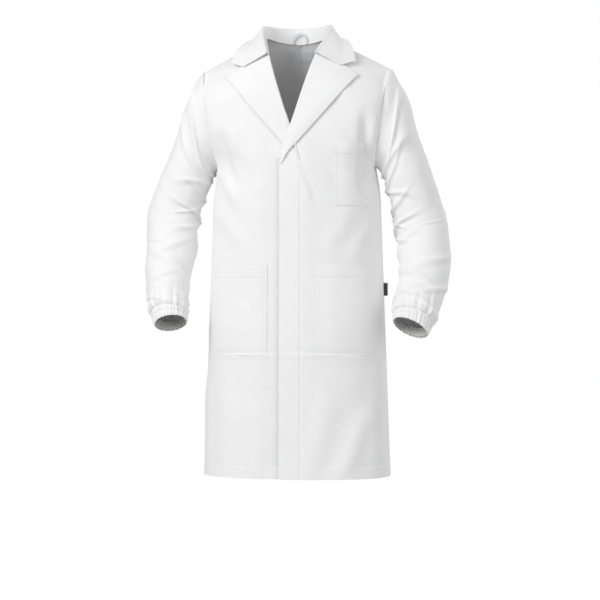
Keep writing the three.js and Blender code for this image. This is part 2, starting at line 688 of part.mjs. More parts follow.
function labelPieces() {
  const [wide, tall] = LABEL_SIZE;
  const neck = (u, v) => {
    const z = lerp(-tall - 16, -16, v);
    return bodyPoint(shareAt(lerp(wide / 2, -wide / 2, u), z), z, 1);
  };
  const label = panel(neck, { columns: 4, rows: 2, lift: -2 * CLOTH - LAYER_GAP });
  addPiece(coat, "neck_label", label, COLOURS.lining);
  const { top, height, reach } = SIDE_LABEL;
  const flag = (u, v) => {
    const z = lerp(-top - height, -top, v);
    return new THREE.Vector3(sideWidth(z) + lerp(2 * SEAM_GAP, reach, u), 0, z);
  };
  addPiece(leftSide, "side_label", panel(flag, { columns: 1, rows: 1, gap: 0 }), COLOURS.label);
}

frontPieces(leftSide, "left", true);
frontPieces(rightSide, "right", false);
backPieces(leftSide, "left", true);
backPieces(rightSide, "right", false);
lapelPiece(leftSide, "left", true);
lapelPiece(rightSide, "right", false);
collarPieces();
flyPieces();
buttonPieces();
facingPiece();
pocketPieces(leftSide, "left_hip_pocket", HIP_POCKET, true);
pocketPieces(rightSide, "right_hip_pocket", HIP_POCKET, false);
pocketPieces(leftSide, "breast_pocket", BREAST_POCKET, true);
sleevePieces(leftSide, "left", LEFT_SLEEVE);
sleevePieces(rightSide, "right", RIGHT_SLEEVE);
loopPiece();
labelPieces();

// The peg bears on the underside of the loop's arch.
const peg = new THREE.Vector3(0, LOOP_Y, LOOP_RISE * 0.9);
coat.position.copy(peg).negate();

export default coat;
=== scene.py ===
"""A white lab coat on nobody: every panel, pocket, collar and cuff as a sheet of twill round the part."""

import math

import bmesh
import bpy
import numpy as np
from mathutils import Matrix, Vector


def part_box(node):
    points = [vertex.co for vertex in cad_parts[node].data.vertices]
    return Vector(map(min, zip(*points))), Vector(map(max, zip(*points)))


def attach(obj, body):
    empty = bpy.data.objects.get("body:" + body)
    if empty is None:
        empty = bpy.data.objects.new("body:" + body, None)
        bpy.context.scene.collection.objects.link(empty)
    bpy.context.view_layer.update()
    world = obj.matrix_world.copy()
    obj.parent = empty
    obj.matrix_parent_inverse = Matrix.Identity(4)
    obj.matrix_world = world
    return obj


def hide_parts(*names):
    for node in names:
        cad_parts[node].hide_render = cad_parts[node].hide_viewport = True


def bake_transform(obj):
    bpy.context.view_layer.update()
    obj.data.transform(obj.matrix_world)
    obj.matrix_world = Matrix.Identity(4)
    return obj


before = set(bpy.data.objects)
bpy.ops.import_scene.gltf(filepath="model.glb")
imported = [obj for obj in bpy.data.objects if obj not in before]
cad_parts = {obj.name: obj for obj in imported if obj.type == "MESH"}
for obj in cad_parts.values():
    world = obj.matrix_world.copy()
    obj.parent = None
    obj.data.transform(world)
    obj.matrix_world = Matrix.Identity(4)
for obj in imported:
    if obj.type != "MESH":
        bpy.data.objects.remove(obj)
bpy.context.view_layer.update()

# ---- Sizes, in metres. Shapes are worked out about the nape and then moved to the part's origin ----
CLOTH = 0.0009  # thickness of a single sheet as it is drawn
NAPE_TO_LOOP = 0.0198
SEAM_Y = sum(corner.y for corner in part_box("side_label")) / 2
TO_PART = np.array([0.0, SEAM_Y, -NAPE_TO_LOOP])

LENGTH = 1.05
SQUARENESS = 2.3
SHOULDER = (0.228, -0.075)
NECK = (0.074, 0.004)
ARMPIT = (0.190, -0.310)
SIDE_TOP = (0.203, -0.400)
HEM_HALF = 0.226
SHOULDER_ROUND = 0.130
ARMHOLE_FRONT = 0.072
ARMHOLE_BACK = 0.080
OVERLAP = 0.024
BREAK_Z = -0.306
SPLIT_Z = -0.415
VENT_TOP = -0.650
VENT_OVERLAP = 0.020
HEM_DEEP = 0.029
FLY_STITCH = 0.048  # from the front edge to the fly's line of stitches
FRONT_DEPTH = (
    (-1.05, 0.134), (-0.76, 0.132), (-0.51, 0.124), (-0.31, 0.127), (-0.2, 0.121), (-0.1, 0.108),
    (0.01, 0.078),
)
BACK_DEPTH = (
    (-1.05, 0.122), (-0.76, 0.116), (-0.51, 0.098), (-0.31, 0.112), (-0.2, 0.112), (-0.1, 0.1), (0.01, 0.083),
)

LAPEL_TIP = (0.156, -0.099)
NOTCH = (0.117, -0.075)
COLLAR_TIP = (0.149, -0.063)
GORGE_Z = -0.047
LAPEL_LIFT = 0.005
COLLAR_LIFT = 0.010
STAND = 0.032

HIP_POCKET = {"inner": 0.054, "width": 0.156, "top": -0.547, "drop": 0.213, "bulge": 0.0035}
BREAST_POCKET = {"inner": 0.106, "width": 0.088, "top": -0.257, "drop": 0.150, "bulge": 0.0022}
POCKET_HEM = 0.030
BUTTON_COUNT = 5
BUTTON_TOP = -0.345
BUTTON_PITCH = 0.113
BUTTON_ZS = [BUTTON_TOP - BUTTON_PITCH * i for i in range(BUTTON_COUNT)]

# Sleeve rings from armhole to cuff: outer edge (x, z), inner edge (x, z), depth of the centre, half depth.
ARMHOLE_RING = (0.229, -0.075, 0.195, -0.310, 0.004, 0.076)
SLEEVES = {
    "left": (
        ARMHOLE_RING,
        (0.266, -0.140, 0.208, -0.334, 0.006, 0.072),
        (0.298, -0.245, 0.214, -0.362, 0.008, 0.067),
        (0.332, -0.345, 0.226, -0.398, 0.011, 0.063),
        (0.362, -0.445, 0.236, -0.456, 0.014, 0.062),
        (0.370, -0.520, 0.247, -0.520, -0.006, 0.060),
        (0.366, -0.590, 0.248, -0.588, -0.042, 0.056),
        (0.346, -0.655, 0.240, -0.640, -0.080, 0.048),
        (0.322, -0.712, 0.243, -0.676, -0.112, 0.034),
    ),
    "right": (
        ARMHOLE_RING,
        (0.266, -0.140, 0.206, -0.325, 0.006, 0.072),
        (0.302, -0.245, 0.214, -0.346, 0.008, 0.067),
        (0.340, -0.332, 0.230, -0.380, 0.011, 0.063),
        (0.370, -0.412, 0.244, -0.430, 0.014, 0.062),
        (0.370, -0.495, 0.248, -0.504, -0.006, 0.060),
        (0.364, -0.575, 0.256, -0.580, -0.042, 0.056),
        (0.350, -0.635, 0.254, -0.640, -0.080, 0.048),
        (0.326, -0.692, 0.250, -0.676, -0.112, 0.034),
    ),
}
SLEEVE_SPLIT = 0.33  # share of the sleeve at which its upper cloth ends and its lower cloth starts
CUFF_SHARE = 0.06


# ---- Curves and the body's surface ----
def lerp(a, b, t):
    return a + (b - a) * t


def smooth(x, low, high):
    t = np.clip((x - low) / (high - low), 0, 1)
    return t * t * (3 - 2 * t)


def bump(x, width):
    return np.exp(-((x / width) ** 2))


def profile(stations):
    """A smooth curve through (height, value) stations."""
    heights = np.array([s[0] for s in stations])
    values = np.array([s[1] for s in stations])
    last = len(stations) - 1
    before = np.maximum(np.arange(last + 1) - 1, 0)
    after = np.minimum(np.arange(last + 1) + 1, last)
    slopes = (values[after] - values[before]) / (heights[after] - heights[before])

    def at(z):
        i = np.clip(np.searchsorted(heights, z, side="right") - 1, 0, last - 1)
        span = heights[i + 1] - heights[i]
        t = np.clip((z - heights[i]) / span, 0, 1)
        rise = values[i] * (2 * t**3 - 3 * t**2 + 1) + values[i + 1] * (3 * t**2 - 2 * t**3)
        return rise + span * (slopes[i] * (t**3 - 2 * t**2 + t) + slopes[i + 1] * (t**3 - t**2))

    return at


def curve(points):
    """A centripetal curve through points, as a function of 0 to 1."""
    p = np.array(points, float)
    ends = [2 * p[0] - p[1]], [2 * p[-1] - p[-2]]
    p = np.concatenate([ends[0], p, ends[1]])
    gaps = np.sqrt(np.linalg.norm(np.diff(p, axis=0), axis=1))
    count = len(points) - 1

    def at(t):
        place = np.clip(np.asarray(t, float) * count, 0, count)
        i = np.minimum(place.astype(int), count - 1)
        w = (place - i)[..., None]
        a, b, c, d = (p[i + k] for k in range(4))
        g0, g1, g2 = (gaps[i + k][..., None] for k in range(3))
        start = ((b - a) / g0 - (c - a) / (g0 + g1) + (c - b) / g1) * g1
        end = ((c - b) / g1 - (d - b) / (g1 + g2) + (d - c) / g2) * g1
        return b + start * w + (3 * (c - b) - 2 * start - end) * w**2 + (2 * (b - c) + start + end) * w**3

    return at


def path(points):
    """Straight lines through points, as a function of the share of their length."""
    p = np.array(points, float)
    along = np.concatenate([[0], np.cumsum(np.linalg.norm(np.diff(p, axis=0), axis=1))])
    along /= along[-1]
    return lambda t: np.stack([np.interp(t, along, p[:, k]) for k in range(p.shape[1])], -1)


def coons(bottom, top, left, right):
    """The patch between four edge curves."""

    def at(u, v):
        u1, v1 = u[..., None], v[..., None]
        zero, one = np.zeros_like(u), np.ones_like(u)
        sides = bottom(u) * (1 - v1) + top(u) * v1 + left(v) * (1 - u1) + right(v) * u1
        low = bottom(zero) * (1 - u1) + bottom(one) * u1
        high = top(zero) * (1 - u1) + top(one) * u1
        return sides - low * (1 - v1) - high * v1

    return at


front_depth = profile(FRONT_DEPTH)
back_depth = profile(BACK_DEPTH)


def side_width(z):
    return lerp(SIDE_TOP[0], HEM_HALF, (SIDE_TOP[1] - z) / (LENGTH + SIDE_TOP[1]))


def raw_half_width(z):
    up = np.clip((z - ARMPIT[1]) / (SHOULDER[1] - ARMPIT[1]), 0, 1)
    tuck = np.clip((z - SIDE_TOP[1]) / (ARMPIT[1] - SIDE_TOP[1]), 0, 1)
    below = side_width(z) - (side_width(ARMPIT[1]) - ARMPIT[0]) * tuck**2
    return np.where(z > ARMPIT[1], lerp(ARMPIT[0], SHOULDER[0], up), below)


def half_width(z):
    """The body's half width, with the corner at the armpit softened."""
    plain = raw_half_width(z)
    soft = (raw_half_width(z - 0.012) + 2 * plain + raw_half_width(z + 0.012)) / 4
    return np.where(z < -0.2, soft, plain)


SHOULDER_SLOPE = (NECK[1] - SHOULDER[1]) / (SHOULDER[0] - NECK[0])


def shoulder_height(x):
    return NECK[1] - SHOULDER_SLOPE * (np.abs(x) - NECK[0])


ARMHOLE_BLUR = (-0.032, -0.022, -0.012, 0.0, 0.012, 0.022, 0.032)  # heights over which its ends are softened


def armhole_depth(z, deepest):
    off = (z - (SHOULDER[1] + ARMPIT[1]) / 2) / ((SHOULDER[1] - ARMPIT[1]) / 2)
    return deepest * np.sqrt(np.maximum(1 - off * off, 0))


def across(share):
    return np.sin(np.clip(np.abs(share), 0, 1) * np.pi / 2) ** (2 / SQUARENESS)


def forward(share):
    return np.clip(np.cos(np.clip(np.abs(share), 0, 1) * np.pi / 2), 0, 1) ** (2 / SQUARENESS)


def share_at(x, z):
    part = np.clip(np.abs(x) / half_width(z), 0, 1) ** (SQUARENESS / 2)
    return np.sign(x) * np.arcsin(part) * 2 / np.pi


def body_point(share, z, facing):
    """A point of the body's surface: share is 0 at the centre and 1 at the side; facing is -1 in front."""
    share, z = np.broadcast_arrays(np.asarray(share, float), np.asarray(z, float))
    x = np.sign(share) * half_width(z) * across(share)
    below = np.clip((shoulder_height(x) - z) / SHOULDER_ROUND, 0, 1)
    full = front_depth(z) if facing < 0 else back_depth(z)
    depth = full * np.sqrt(1 - (1 - below) ** 2)
    deepest = ARMHOLE_FRONT if facing < 0 else ARMHOLE_BACK
    blurred = sum(armhole_depth(z + step, deepest) for step in ARMHOLE_BLUR) / len(ARMHOLE_BLUR)
    blurred = blurred * np.sqrt(1 - (1 - below) ** 2)
    edge = lerp(blurred, armhole_depth(z, deepest), smooth(np.abs(share), 0.8, 1))
    return np.stack([x, facing * (edge + (depth - edge) * forward(share)), z], -1)


def front_edge(z):
    """The front edge below the break point, and the lapel's roll line above it."""
    up = np.clip((z - BREAK_Z) / (NECK[1] - BREAK_Z), 0, 1)
    return lerp(-OVERLAP, NECK[0], up)


# ---- Folds. Each is a ridge or a hollow along a line on the cloth, in metres ----
def crease(x, z, start, end, width, height, skew=0.35):
    """A fold from start to end that rises to one side of its line and dips to the other."""
    a, b = np.array(start), np.array(end)
    length = np.linalg.norm(b - a)
    ax, az = (b - a) / length
    along = ((x - a[0]) * ax + (z - a[1]) * az) / length
    off = (x - a[0]) * -az + (z - a[1]) * ax
    off = off + 0.15 * width * np.sin(along * 7 + a[0] * 50)
    fade = smooth(along, -0.12, 0.25) * (1 - smooth(along, 0.7, 1.12))
    return height * fade * (bump(off, width) - skew * bump(off - 1.7 * width, 1.3 * width))


def waves(p, size, seed, stretch=(1, 1, 1)):
    """Soft, even undulation of about that size, the same each time for one seed."""
    rng = np.random.default_rng(seed)
    total = 0
    for _ in range(7):
        way = rng.normal(size=3) * stretch
        way /= np.linalg.norm(way)
        total = total + np.sin(
            p @ way * (2 * np.pi / size * rng.uniform(0.6, 1.5)) + rng.uniform(0, 2 * np.pi)
        )
    return total / 7


LEFT_FRONT_FOLDS = (
    ((0.176, -0.190), (0.172, -0.385), 0.013, -0.012, -0.5),  # the deep fold beside the armhole
    ((0.198, -0.200), (0.196, -0.330), 0.010, 0.006, 0.2),
    ((0.012, -0.300), (0.056, -0.410), 0.006, 0.0028, 0.5),  # the drag line down from the break
    ((0.020, -0.286), (0.100, -0.350), 0.012, 0.0025, 0.4),
    ((0.150, -0.400), (0.085, -0.515), 0.022, 0.0030, 0.3),
    ((0.195, -0.430), (0.140, -0.540), 0.016, 0.0026, 0.3),
    ((0.115, -1.050), (0.190, -0.880), 0.022, 0.0055, 0.4),
    ((0.060, -1.050), (0.085, -0.820), 0.026, 0.0042, 0.3),
    ((0.205, -0.760), (0.200, -1.050), 0.020, 0.0045, 0.3),
    ((-0.020, -0.756), (0.215, -0.768), 0.005, 0.0016, 0.8),  # where the coat lay folded
    ((0.100, -0.120), (0.180, -0.170), 0.016, 0.0022, 0.4),
)
RIGHT_FRONT_FOLDS = (
    ((0.172, -0.235), (0.140, -0.365), 0.012, -0.0075, -0.5),
    ((0.190, -0.300), (0.120, -0.420), 0.014, 0.0045, 0.4),
    ((0.150, -0.215), (0.085, -0.330), 0.018, 0.0030, 0.4),
    ((0.195, -0.400), (0.100, -0.520), 0.020, 0.0034, 0.3),
    ((0.165, -1.050), (0.150, -0.800), 0.024, 0.0050, 0.3),
    ((0.085, -1.050), (0.100, -0.860), 0.022, 0.0036, 0.3),
    ((0.215, -0.800), (0.205, -1.050), 0.018, 0.0040, 0.3),
    ((0.010, -0.757), (0.215, -0.766), 0.005, 0.0015, 0.8),
    ((0.110, -0.110), (0.180, -0.175), 0.018, 0.0024, 0.4),
)
BACK_FOLDS = (
    ((-0.165, -0.180), (-0.120, -0.420), 0.016, 0.0065, 0.4),
    ((0.160, -0.190), (0.125, -0.400), 0.016, 0.0060, 0.4),
    ((0.186, -0.320), (0.100, -0.440), 0.014, 0.0045, 0.4),
    ((-0.186, -0.320), (-0.090, -0.450), 0.015, 0.0050, 0.4),
    ((-0.130, -0.470), (0.060, -0.520), 0.016, 0.0032, 0.4),
    ((0.150, -0.500), (-0.040, -0.560), 0.016, 0.0030, 0.4),
    ((0.090, -1.050), (0.110, -0.700), 0.026, 0.0055, 0.3),
    ((-0.110, -1.050), (-0.090, -0.720), 0.026, 0.0055, 0.3),
    ((-0.185, -1.050), (-0.180, -0.760), 0.022, 0.0045, 0.3),
    ((0.180, -1.050), (0.185, -0.780), 0.022, 0.0045, 0.3),
    ((-0.200, -0.765), (0.200, -0.755), 0.005, 0.0015, 0.8),
)


def body_folds(p, facing, side=1):
    """How far the body's cloth stands off its smooth surface. x is on the side's own +X."""
    x, z = p[..., 0], p[..., 2]
    rows = BACK_FOLDS if facing > 0 else (LEFT_FRONT_FOLDS if side > 0 else RIGHT_FRONT_FOLDS)
    total = sum(crease(x, z, a, b, width, height, skew) for a, b, width, height, skew in rows)
    calm = smooth(np.abs(x), 0.02, 0.07) if facing < 0 else 1
    total = total + 0.0016 * waves(p, 0.22, 3 + facing + side, (1, 0.3, 0.6)) * calm
    total = total + 0.0005 * waves(p, 0.06, 9 + facing + side) * (0.4 + 0.6 * calm)
    total = total + 0.0022 * waves(p, 0.13, 20 + facing + side, (1, 0.2, 0.15)) * smooth(-z, 0.75, 1.05)
    seam = 1 - smooth(shoulder_height(x) - z, 0.004, 0.05)
    side_seam = smooth(np.abs(x) / half_width(z), 0.985, 0.9995)
    return total * (1 - seam) * (1 - side_seam)


# ---- Making sheets ----
def clustered(count, marks=(), reach=0.004):
    """Even stations from 0 to 1, with more of them close round each mark."""
    values = list(np.linspace(0, 1, count + 1))
    for mark in marks:
        values += [mark + reach * k for k in (-1, -0.5, -0.25, 0, 0.25, 0.5, 1)]
    values = np.unique(np.clip(np.round(values, 6), 0, 1))
    return values


def normals_of(surface, u, v):
    step = 1e-3
    du = surface(np.minimum(u + step, 1), v) - surface(np.maximum(u - step, 0), v)
    dv = surface(u, np.minimum(v + step, 1)) - surface(u, np.maximum(v - step, 0))
    n = np.cross(du, dv)
    return n / np.maximum(np.linalg.norm(n, axis=-1, keepdims=True), 1e-12)


def plain_size(p):
    """Width, length and area of a grid of points, before its folds are put in."""
    steps_u = np.linalg.norm(np.diff(p, axis=0), axis=-1)
    steps_v = np.linalg.norm(np.diff(p, axis=1), axis=-1)
    a, b, c, d = p[:-1, :-1], p[1:, :-1], p[1:, 1:], p[:-1, 1:]
    area = np.linalg.norm(np.cross(c - a, d - b), axis=-1).sum() / 2
    return steps_u.sum(0), steps_v.sum(1), area


def thicken(piece, thickness, rounded):
    """Give a sheet its wall, inwards, with cut edges square or rounded and faces smooth up to them."""
    wall = piece.modifiers.new("cloth", "SOLIDIFY")
    wall.thickness = thickness
    wall.offset = -1
    if rounded:
        bevel = piece.modifiers.new("edge", "BEVEL")
        bevel.width = rounded
        bevel.segments = 3
        bevel.limit_method = "ANGLE"
        bevel.angle_limit = math.radians(50)
    made = piece.evaluated_get(bpy.context.evaluated_depsgraph_get())
    mesh = bpy.data.meshes.new_from_object(made)
    mesh.name = piece.name
    piece.modifiers.clear()
    piece.data = mesh
    mesh.set_sharp_from_angle(angle=math.radians(48))


def sheet(
    name, surface, columns, rows, material, off=None, thick=CLOTH, mirror=False, closed=False,
    rounded=0,
):
    """One piece of cloth: a grid laid on surface(u, v), pushed off it by off(u, v, p), with a wall inwards.

    columns and rows are the stations of u and v, or how many even steps each takes."""
    us = clustered(columns) if isinstance(columns, int) else columns
    vs = clustered(rows) if isinstance(rows, int) else rows
    shape = bmesh.new()
    bmesh.ops.create_grid(shape, x_segments=len(us) - 1, y_segments=len(vs) - 1, size=0.5)
    mesh = bpy.data.meshes.new(name)
    shape.to_mesh(mesh)
    shape.free()
    flat = np.zeros(len(mesh.vertices) * 3)
    mesh.vertices.foreach_get("co", flat)
    flat = flat.reshape(-1, 3)
    i = np.round((flat[:, 0] + 0.5) * (len(us) - 1)).astype(int)
    j = np.round((flat[:, 1] + 0.5) * (len(vs) - 1)).astype(int)
    grid_u, grid_v = np.meshgrid(us, vs, indexing="ij")
    plain = surface(grid_u, grid_v)
    widths, lengths, area = plain_size(plain)
    p = plain
    if off is not None:
        p = plain + normals_of(surface, grid_u, grid_v) * off(grid_u, grid_v, plain)[..., None]
    p = p + TO_PART
    if mirror:
        p = p * np.array([-1.0, 1.0, 1.0])
    mesh.vertices.foreach_set("co", p[i, j].ravel())
    layer = mesh.uv_layers.new(name="cloth")
    loops = np.zeros(len(mesh.loops), int)
    mesh.loops.foreach_get("vertex_index", loops)
    uv = np.stack([us[i[loops]] * widths.max(), vs[j[loops]] * lengths.max()], -1)
    layer.data.foreach_set("uv", uv.ravel())
    work = bmesh.new()
    work.from_mesh(mesh)
    if closed:
        bmesh.ops.remove_doubles(work, verts=work.verts, dist=1e-5)
    if mirror:
        bmesh.ops.reverse_faces(work, faces=work.faces)
    for face in work.faces:
        face.smooth = True
    work.to_mesh(mesh)
    work.free()
    piece = bpy.data.objects.new(name, mesh)
    bpy.context.scene.collection.objects.link(piece)
    mesh.materials.append(material)
    thicken(piece, thick, rounded)
    return piece


# ---- Materials ----
def toLinear(value):
    """A colour written as sRGB hex, as the shader's linear colour."""
    parts = [((value >> shift) & 255) / 255 for shift in (16, 8, 0)]
    return tuple(c / 12.92 if c <= 0.04045 else ((c + 0.055) / 1.055) ** 2.4 for c in parts) + (1.0,)


def add(tree, kind, inputs=None, **settings):
    """A node with its settings and its unlinked values or links put in."""
    node = tree.nodes.new(kind)
    for key, value in settings.items():
        setattr(node, key, value)
    for key, value in (inputs or {}).items():
        if isinstance(value, bpy.types.NodeSocket):
            tree.links.new(value, node.inputs[key])
        else:
            node.inputs[key].default_value = value
    return node


def shader(name, colour, roughness, sheen=0.0):
    material = bpy.data.materials.new(name)
    material.use_nodes = True
    body = material.node_tree.nodes["Principled BSDF"]
    body.inputs["Base Color"].default_value = toLinear(colour)
    body.inputs["Roughness"].default_value = roughness
    body.inputs["Sheen Weight"].default_value = sheen
    body.inputs["Sheen Roughness"].default_value = 0.5
    return material, material.node_tree, body


def woven(name, colour, shade, pitch, roughness=0.82, sheen=0.12, diagonal=True):
    """Cloth: colour with a slight mottle towards shade, and a weave of that pitch in metres."""
    material, tree, body = shader(name, colour, roughness, sheen)
    place = add(tree, "ShaderNodeTexCoord")
    # The mottle keeps a wide flat panel from looking like paint.
    mottle = add(
        tree, "ShaderNodeTexNoise", {"Vector": place.outputs["Object"], "Scale": 38.0, "Detail": 4.0},
    )
    tint = add(
        tree, "ShaderNodeMix",
        {"Factor": mottle.outputs["Fac"], "A": toLinear(colour), "B": toLinear(shade)}, data_type="RGBA",
    )
    tree.links.new(tint.outputs["Result"], body.inputs["Base Color"])
    # The twill's slanting ribs, or a plain tape's cross ribs, catch the light at grazing angles.
    turn = math.radians(63 if diagonal else 0)
    slant = add(tree, "ShaderNodeMapping", {"Vector": place.outputs["UV"], "Rotation": (0, 0, turn)})
    ribs = add(
        tree, "ShaderNodeTexWave",
        {"Vector": slant.outputs["Vector"], "Scale": 0.314 / pitch, "Distortion": 0.6, "Detail": 1.0},
    )
    weave = add(
        tree, "ShaderNodeBump", {"Height": ribs.outputs["Fac"], "Strength": 0.25, "Distance": pitch * 0.15},
    )
    # Small soft crumples left by washing and wearing.
    crumple = add(
        tree, "ShaderNodeTexNoise",
        {"Vector": place.outputs["Object"], "Scale": 55.0, "Detail": 3.0, "Roughness": 0.45},
    )
    worn = add(
        tree, "ShaderNodeBump",
        {
            "Height": crumple.outputs["Fac"], "Strength": 0.35, "Distance": 0.0012,
            "Normal": weave.outputs["Normal"],
        },
    )
    tree.links.new(worn.outputs["Normal"], body.inputs["Normal"])
    return material


def button_plastic():
    """White polyester button: a hard gloss over a faint pearly cloud."""
    material, tree, body = shader("white_polyester_button", 0xF3F3EE, 0.28)
    place = add(tree, "ShaderNodeTexCoord")
    cloud = add(
        tree, "ShaderNodeTexNoise", {"Vector": place.outputs["Object"], "Scale": 220.0, "Detail": 2.0},
    )
    tint = add(
        tree, "ShaderNodeMix",
        {"Factor": cloud.outputs["Fac"], "A": toLinear(0xF6F6F2), "B": toLinear(0xE6E6DE)}, data_type="RGBA",
    )
    tree.links.new(tint.outputs["Result"], body.inputs["Base Color"])
    return material


def sewing_thread():
    """Spun polyester thread, a little brighter along its twist."""
    material, tree, body = shader("white_polyester_thread", 0xEDEEF0, 0.6, 0.2)
    place = add(tree, "ShaderNodeTexCoord")
    twist = add(tree, "ShaderNodeTexNoise", {"Vector": place.outputs["Object"], "Scale": 900.0})
    lift = add(tree, "ShaderNodeBump", {"Height": twist.outputs["Fac"], "Strength": 0.4, "Distance": 0.0001})
    tree.links.new(lift.outputs["Normal"], body.inputs["Normal"])
    return material


TWILL = woven("white_polycotton_twill", 0xF2F2F2, 0xECECED, 0.0006)
LINING = woven("white_fusible_interlining", 0xE9EAEC, 0xE2E4E7, 0.0004, 0.9, 0.05, False)
TAPE = woven("white_cotton_tape", 0xE2E4E6, 0xD6D9DC, 0.0008, 0.85, 0.1, False)
ELASTIC = woven("white_knitted_elastic", 0xE6E6E4, 0xD8D8D4, 0.0015, 0.8, 0.1, False)
NECK_LABEL = woven("white_woven_satin_label", 0xEEEFF1, 0xE4E6E9, 0.0003, 0.45, 0.1, False)
SIDE_TAG = woven("dark_grey_woven_tag", 0x4C4F54, 0x3E4146, 0.0004, 0.7, 0.1, False)
BUTTON = button_plastic()
THREAD = sewing_thread()

# The CAD's own solids take the same finishes, whether they show or not.
NODE_FINISH = {
    "hang_loop": TAPE, "collar_interlining": LINING, "neck_label": NECK_LABEL, "side_label": SIDE_TAG,
}
for node_name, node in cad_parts.items():
    finish = NODE_FINISH.get(node_name, TWILL)
    if node_name.startswith("button"):
        finish = BUTTON
    if node_name.endswith("elastic"):
        finish = ELASTIC
    node.data.materials.clear()
    node.data.materials.append(finish)


# ---- Placing each piece: its transform is baked into its mesh ----
def body_at(x, y, z):
    return tuple(np.array([x, y, z]) + TO_PART)


def with_front(piece):
    """Bake the piece's placement into its mesh."""
    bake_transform(piece)


def with_vent(piece):
    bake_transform(piece)


SIGN = {"left": 1, "right": -1}


def follow():
    return lambda piece: with_front(piece)


# ---- Fronts ----
FLY_COLUMN = 0.16  # the share of a front's columns between its edge and the fly's stitches
FOLDED = 0.0006  # how much thicker the cloth is where it is doubled
OVER_RISE = 0.0035
UNDER_SINK = 0.005


def front_lift(x, z, side):
    """The left front laps over the right one near the centre."""
    height = OVER_RISE if side == "left" else -UNDER_SINK
    return height * (1 - smooth(np.abs(x), 0.030, 0.080)) * (1 - smooth(z, BREAK_Z + 0.060, BREAK_Z + 0.150))


def fly_warp(u, z):
    """Stations of u that keep one column on the fly's line of stitches."""
    edge = share_at(front_edge(z), z)
    line = (share_at(front_edge(z) + FLY_STITCH, z) - edge) / (1 - edge)
    return np.where(
        u < FLY_COLUMN, u / FLY_COLUMN * line, line + (u - FLY_COLUMN) / (1 - FLY_COLUMN) * (1 - line),
    )


def crowded(row):
    return 1 - (1 - row * 0.998) ** 2


SPLIT_ROW = 0.62  # the share of a front's rows below the chest


def chest_point(u, v):
    low = SPLIT_Z
    v = crowded(v)
    edge_z = lerp(low, NECK[1], v)
    u = fly_warp(u, edge_z)
    low_share = share_at(front_edge(low), low)
    neck_share = share_at(NECK[0], NECK[1])
    top_share = lerp(neck_share, 1, u)
    edge_share = share_at(front_edge(edge_z), edge_z)
    share = lerp(lerp(low_share, 1, u), top_share, v) + lerp(edge_share, 1, u) - lerp(
        lerp(low_share, neck_share, v), 1, u,
    )
    top = shoulder_height(SHOULDER[0] * across(top_share))
    return body_point(share, lerp(low, top, v), -1)


def front_surface(u, v):
    """A whole front, from the hem to the shoulder seam."""
    z = lerp(-LENGTH, SPLIT_Z, np.clip(v / SPLIT_ROW, 0, 1))
    share = lerp(share_at(front_edge(z), z), 1, fly_warp(u, z))
    skirt = body_point(share, z, -1)
    chest = chest_point(u, np.clip((v - SPLIT_ROW) / (1 - SPLIT_ROW), 0, 1))
    return np.where((v < SPLIT_ROW)[..., None], skirt, chest)


def chest_row(z):
    """The row of a front's edge at height z."""
    part = (z - SPLIT_Z) / (NECK[1] - SPLIT_Z)
    return SPLIT_ROW + (1 - SPLIT_ROW) * (1 - math.sqrt(1 - part)) / 0.998


def hem_relief(z):
    """The turned-up hem is thicker, and its stitches pull in."""
    above = z + LENGTH - HEM_DEEP
    return FOLDED * (1 - smooth(above, -0.0015, 0.0015)) - 0.0007 * bump(above, 0.0012)


def front_relief(u, p, side):
    """The doubled edge and the fly's line of stitches, on the left front only."""
    z = p[..., 2]
    total = hem_relief(z)
    if side == "left":
        below = 1 - smooth(z, BREAK_Z - 0.035, BREAK_Z - 0.02)
        off = (u - FLY_COLUMN) / FLY_COLUMN * FLY_STITCH
        total = total + below * (FOLDED * (1 - smooth(off, -0.0015, 0.0015)) - 0.0008 * bump(off, 0.0014))
    return total


def front_off(side):
    def off(u, v, p):
        return body_folds(p, -1, SIGN[side]) + front_lift(
            p[..., 0], p[..., 2], side,
        ) + front_relief(u, p, side)

    return off


def front_piece(side):
    hem_row = HEM_DEEP / (LENGTH + SPLIT_Z) * SPLIT_ROW
    columns = clustered(96, (FLY_COLUMN,), 0.011)
    rows = clustered(230, (hem_row,), 0.0025)
    piece = sheet(
        f"{side}_front", front_surface, columns, rows, TWILL, front_off(side), mirror=side == "right",
    )
    with_front(piece)
    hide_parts(f"{side}_front_chest", f"{side}_front_skirt")
    turned = lambda u, v: front_surface(u, v * hem_row * 0.97)
    inside = lambda u, v, p: front_off(side)(u, v, p) - CLOTH - 0.0006
    hem = sheet(
        f"{side}_front_hem_turning", turned, 90, 6, TWILL, inside, mirror=side == "right",
    )
    with_front(hem)
    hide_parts(f"{side}_front_hem")


# ---- Back and vent ----
def back_off(u, v, p):
    return body_folds(p, 1) + hem_relief(p[..., 2])


def back_surface(u, row):
    """The whole back above the vent: u runs from the left side to the right one."""
    v = crowded(row)
    t = 1 - 2 * u
    top_x = SHOULDER[0] * np.abs(t)
    neck = lerp(0, NECK[1], np.clip(top_x / NECK[0], 0, 1) ** 2)
    top = np.where(top_x > NECK[0], shoulder_height(top_x), neck)
    z = lerp(VENT_TOP, top, v)
    share = np.sign(t) * lerp(np.abs(t), share_at(top_x, SHOULDER[1]), smooth(v, 0.55, 1))
    return body_point(share, z, 1)


def vent_surface(u, v):
    """Half of the skirt's back, reaching past the centre once it is open."""
    z = lerp(-LENGTH, VENT_TOP, v)
    reach = VENT_OVERLAP * smooth(VENT_TOP - z, 0, 0.022)
    return body_point(lerp(1, share_at(-reach - 1e-9, z), u), z, 1)


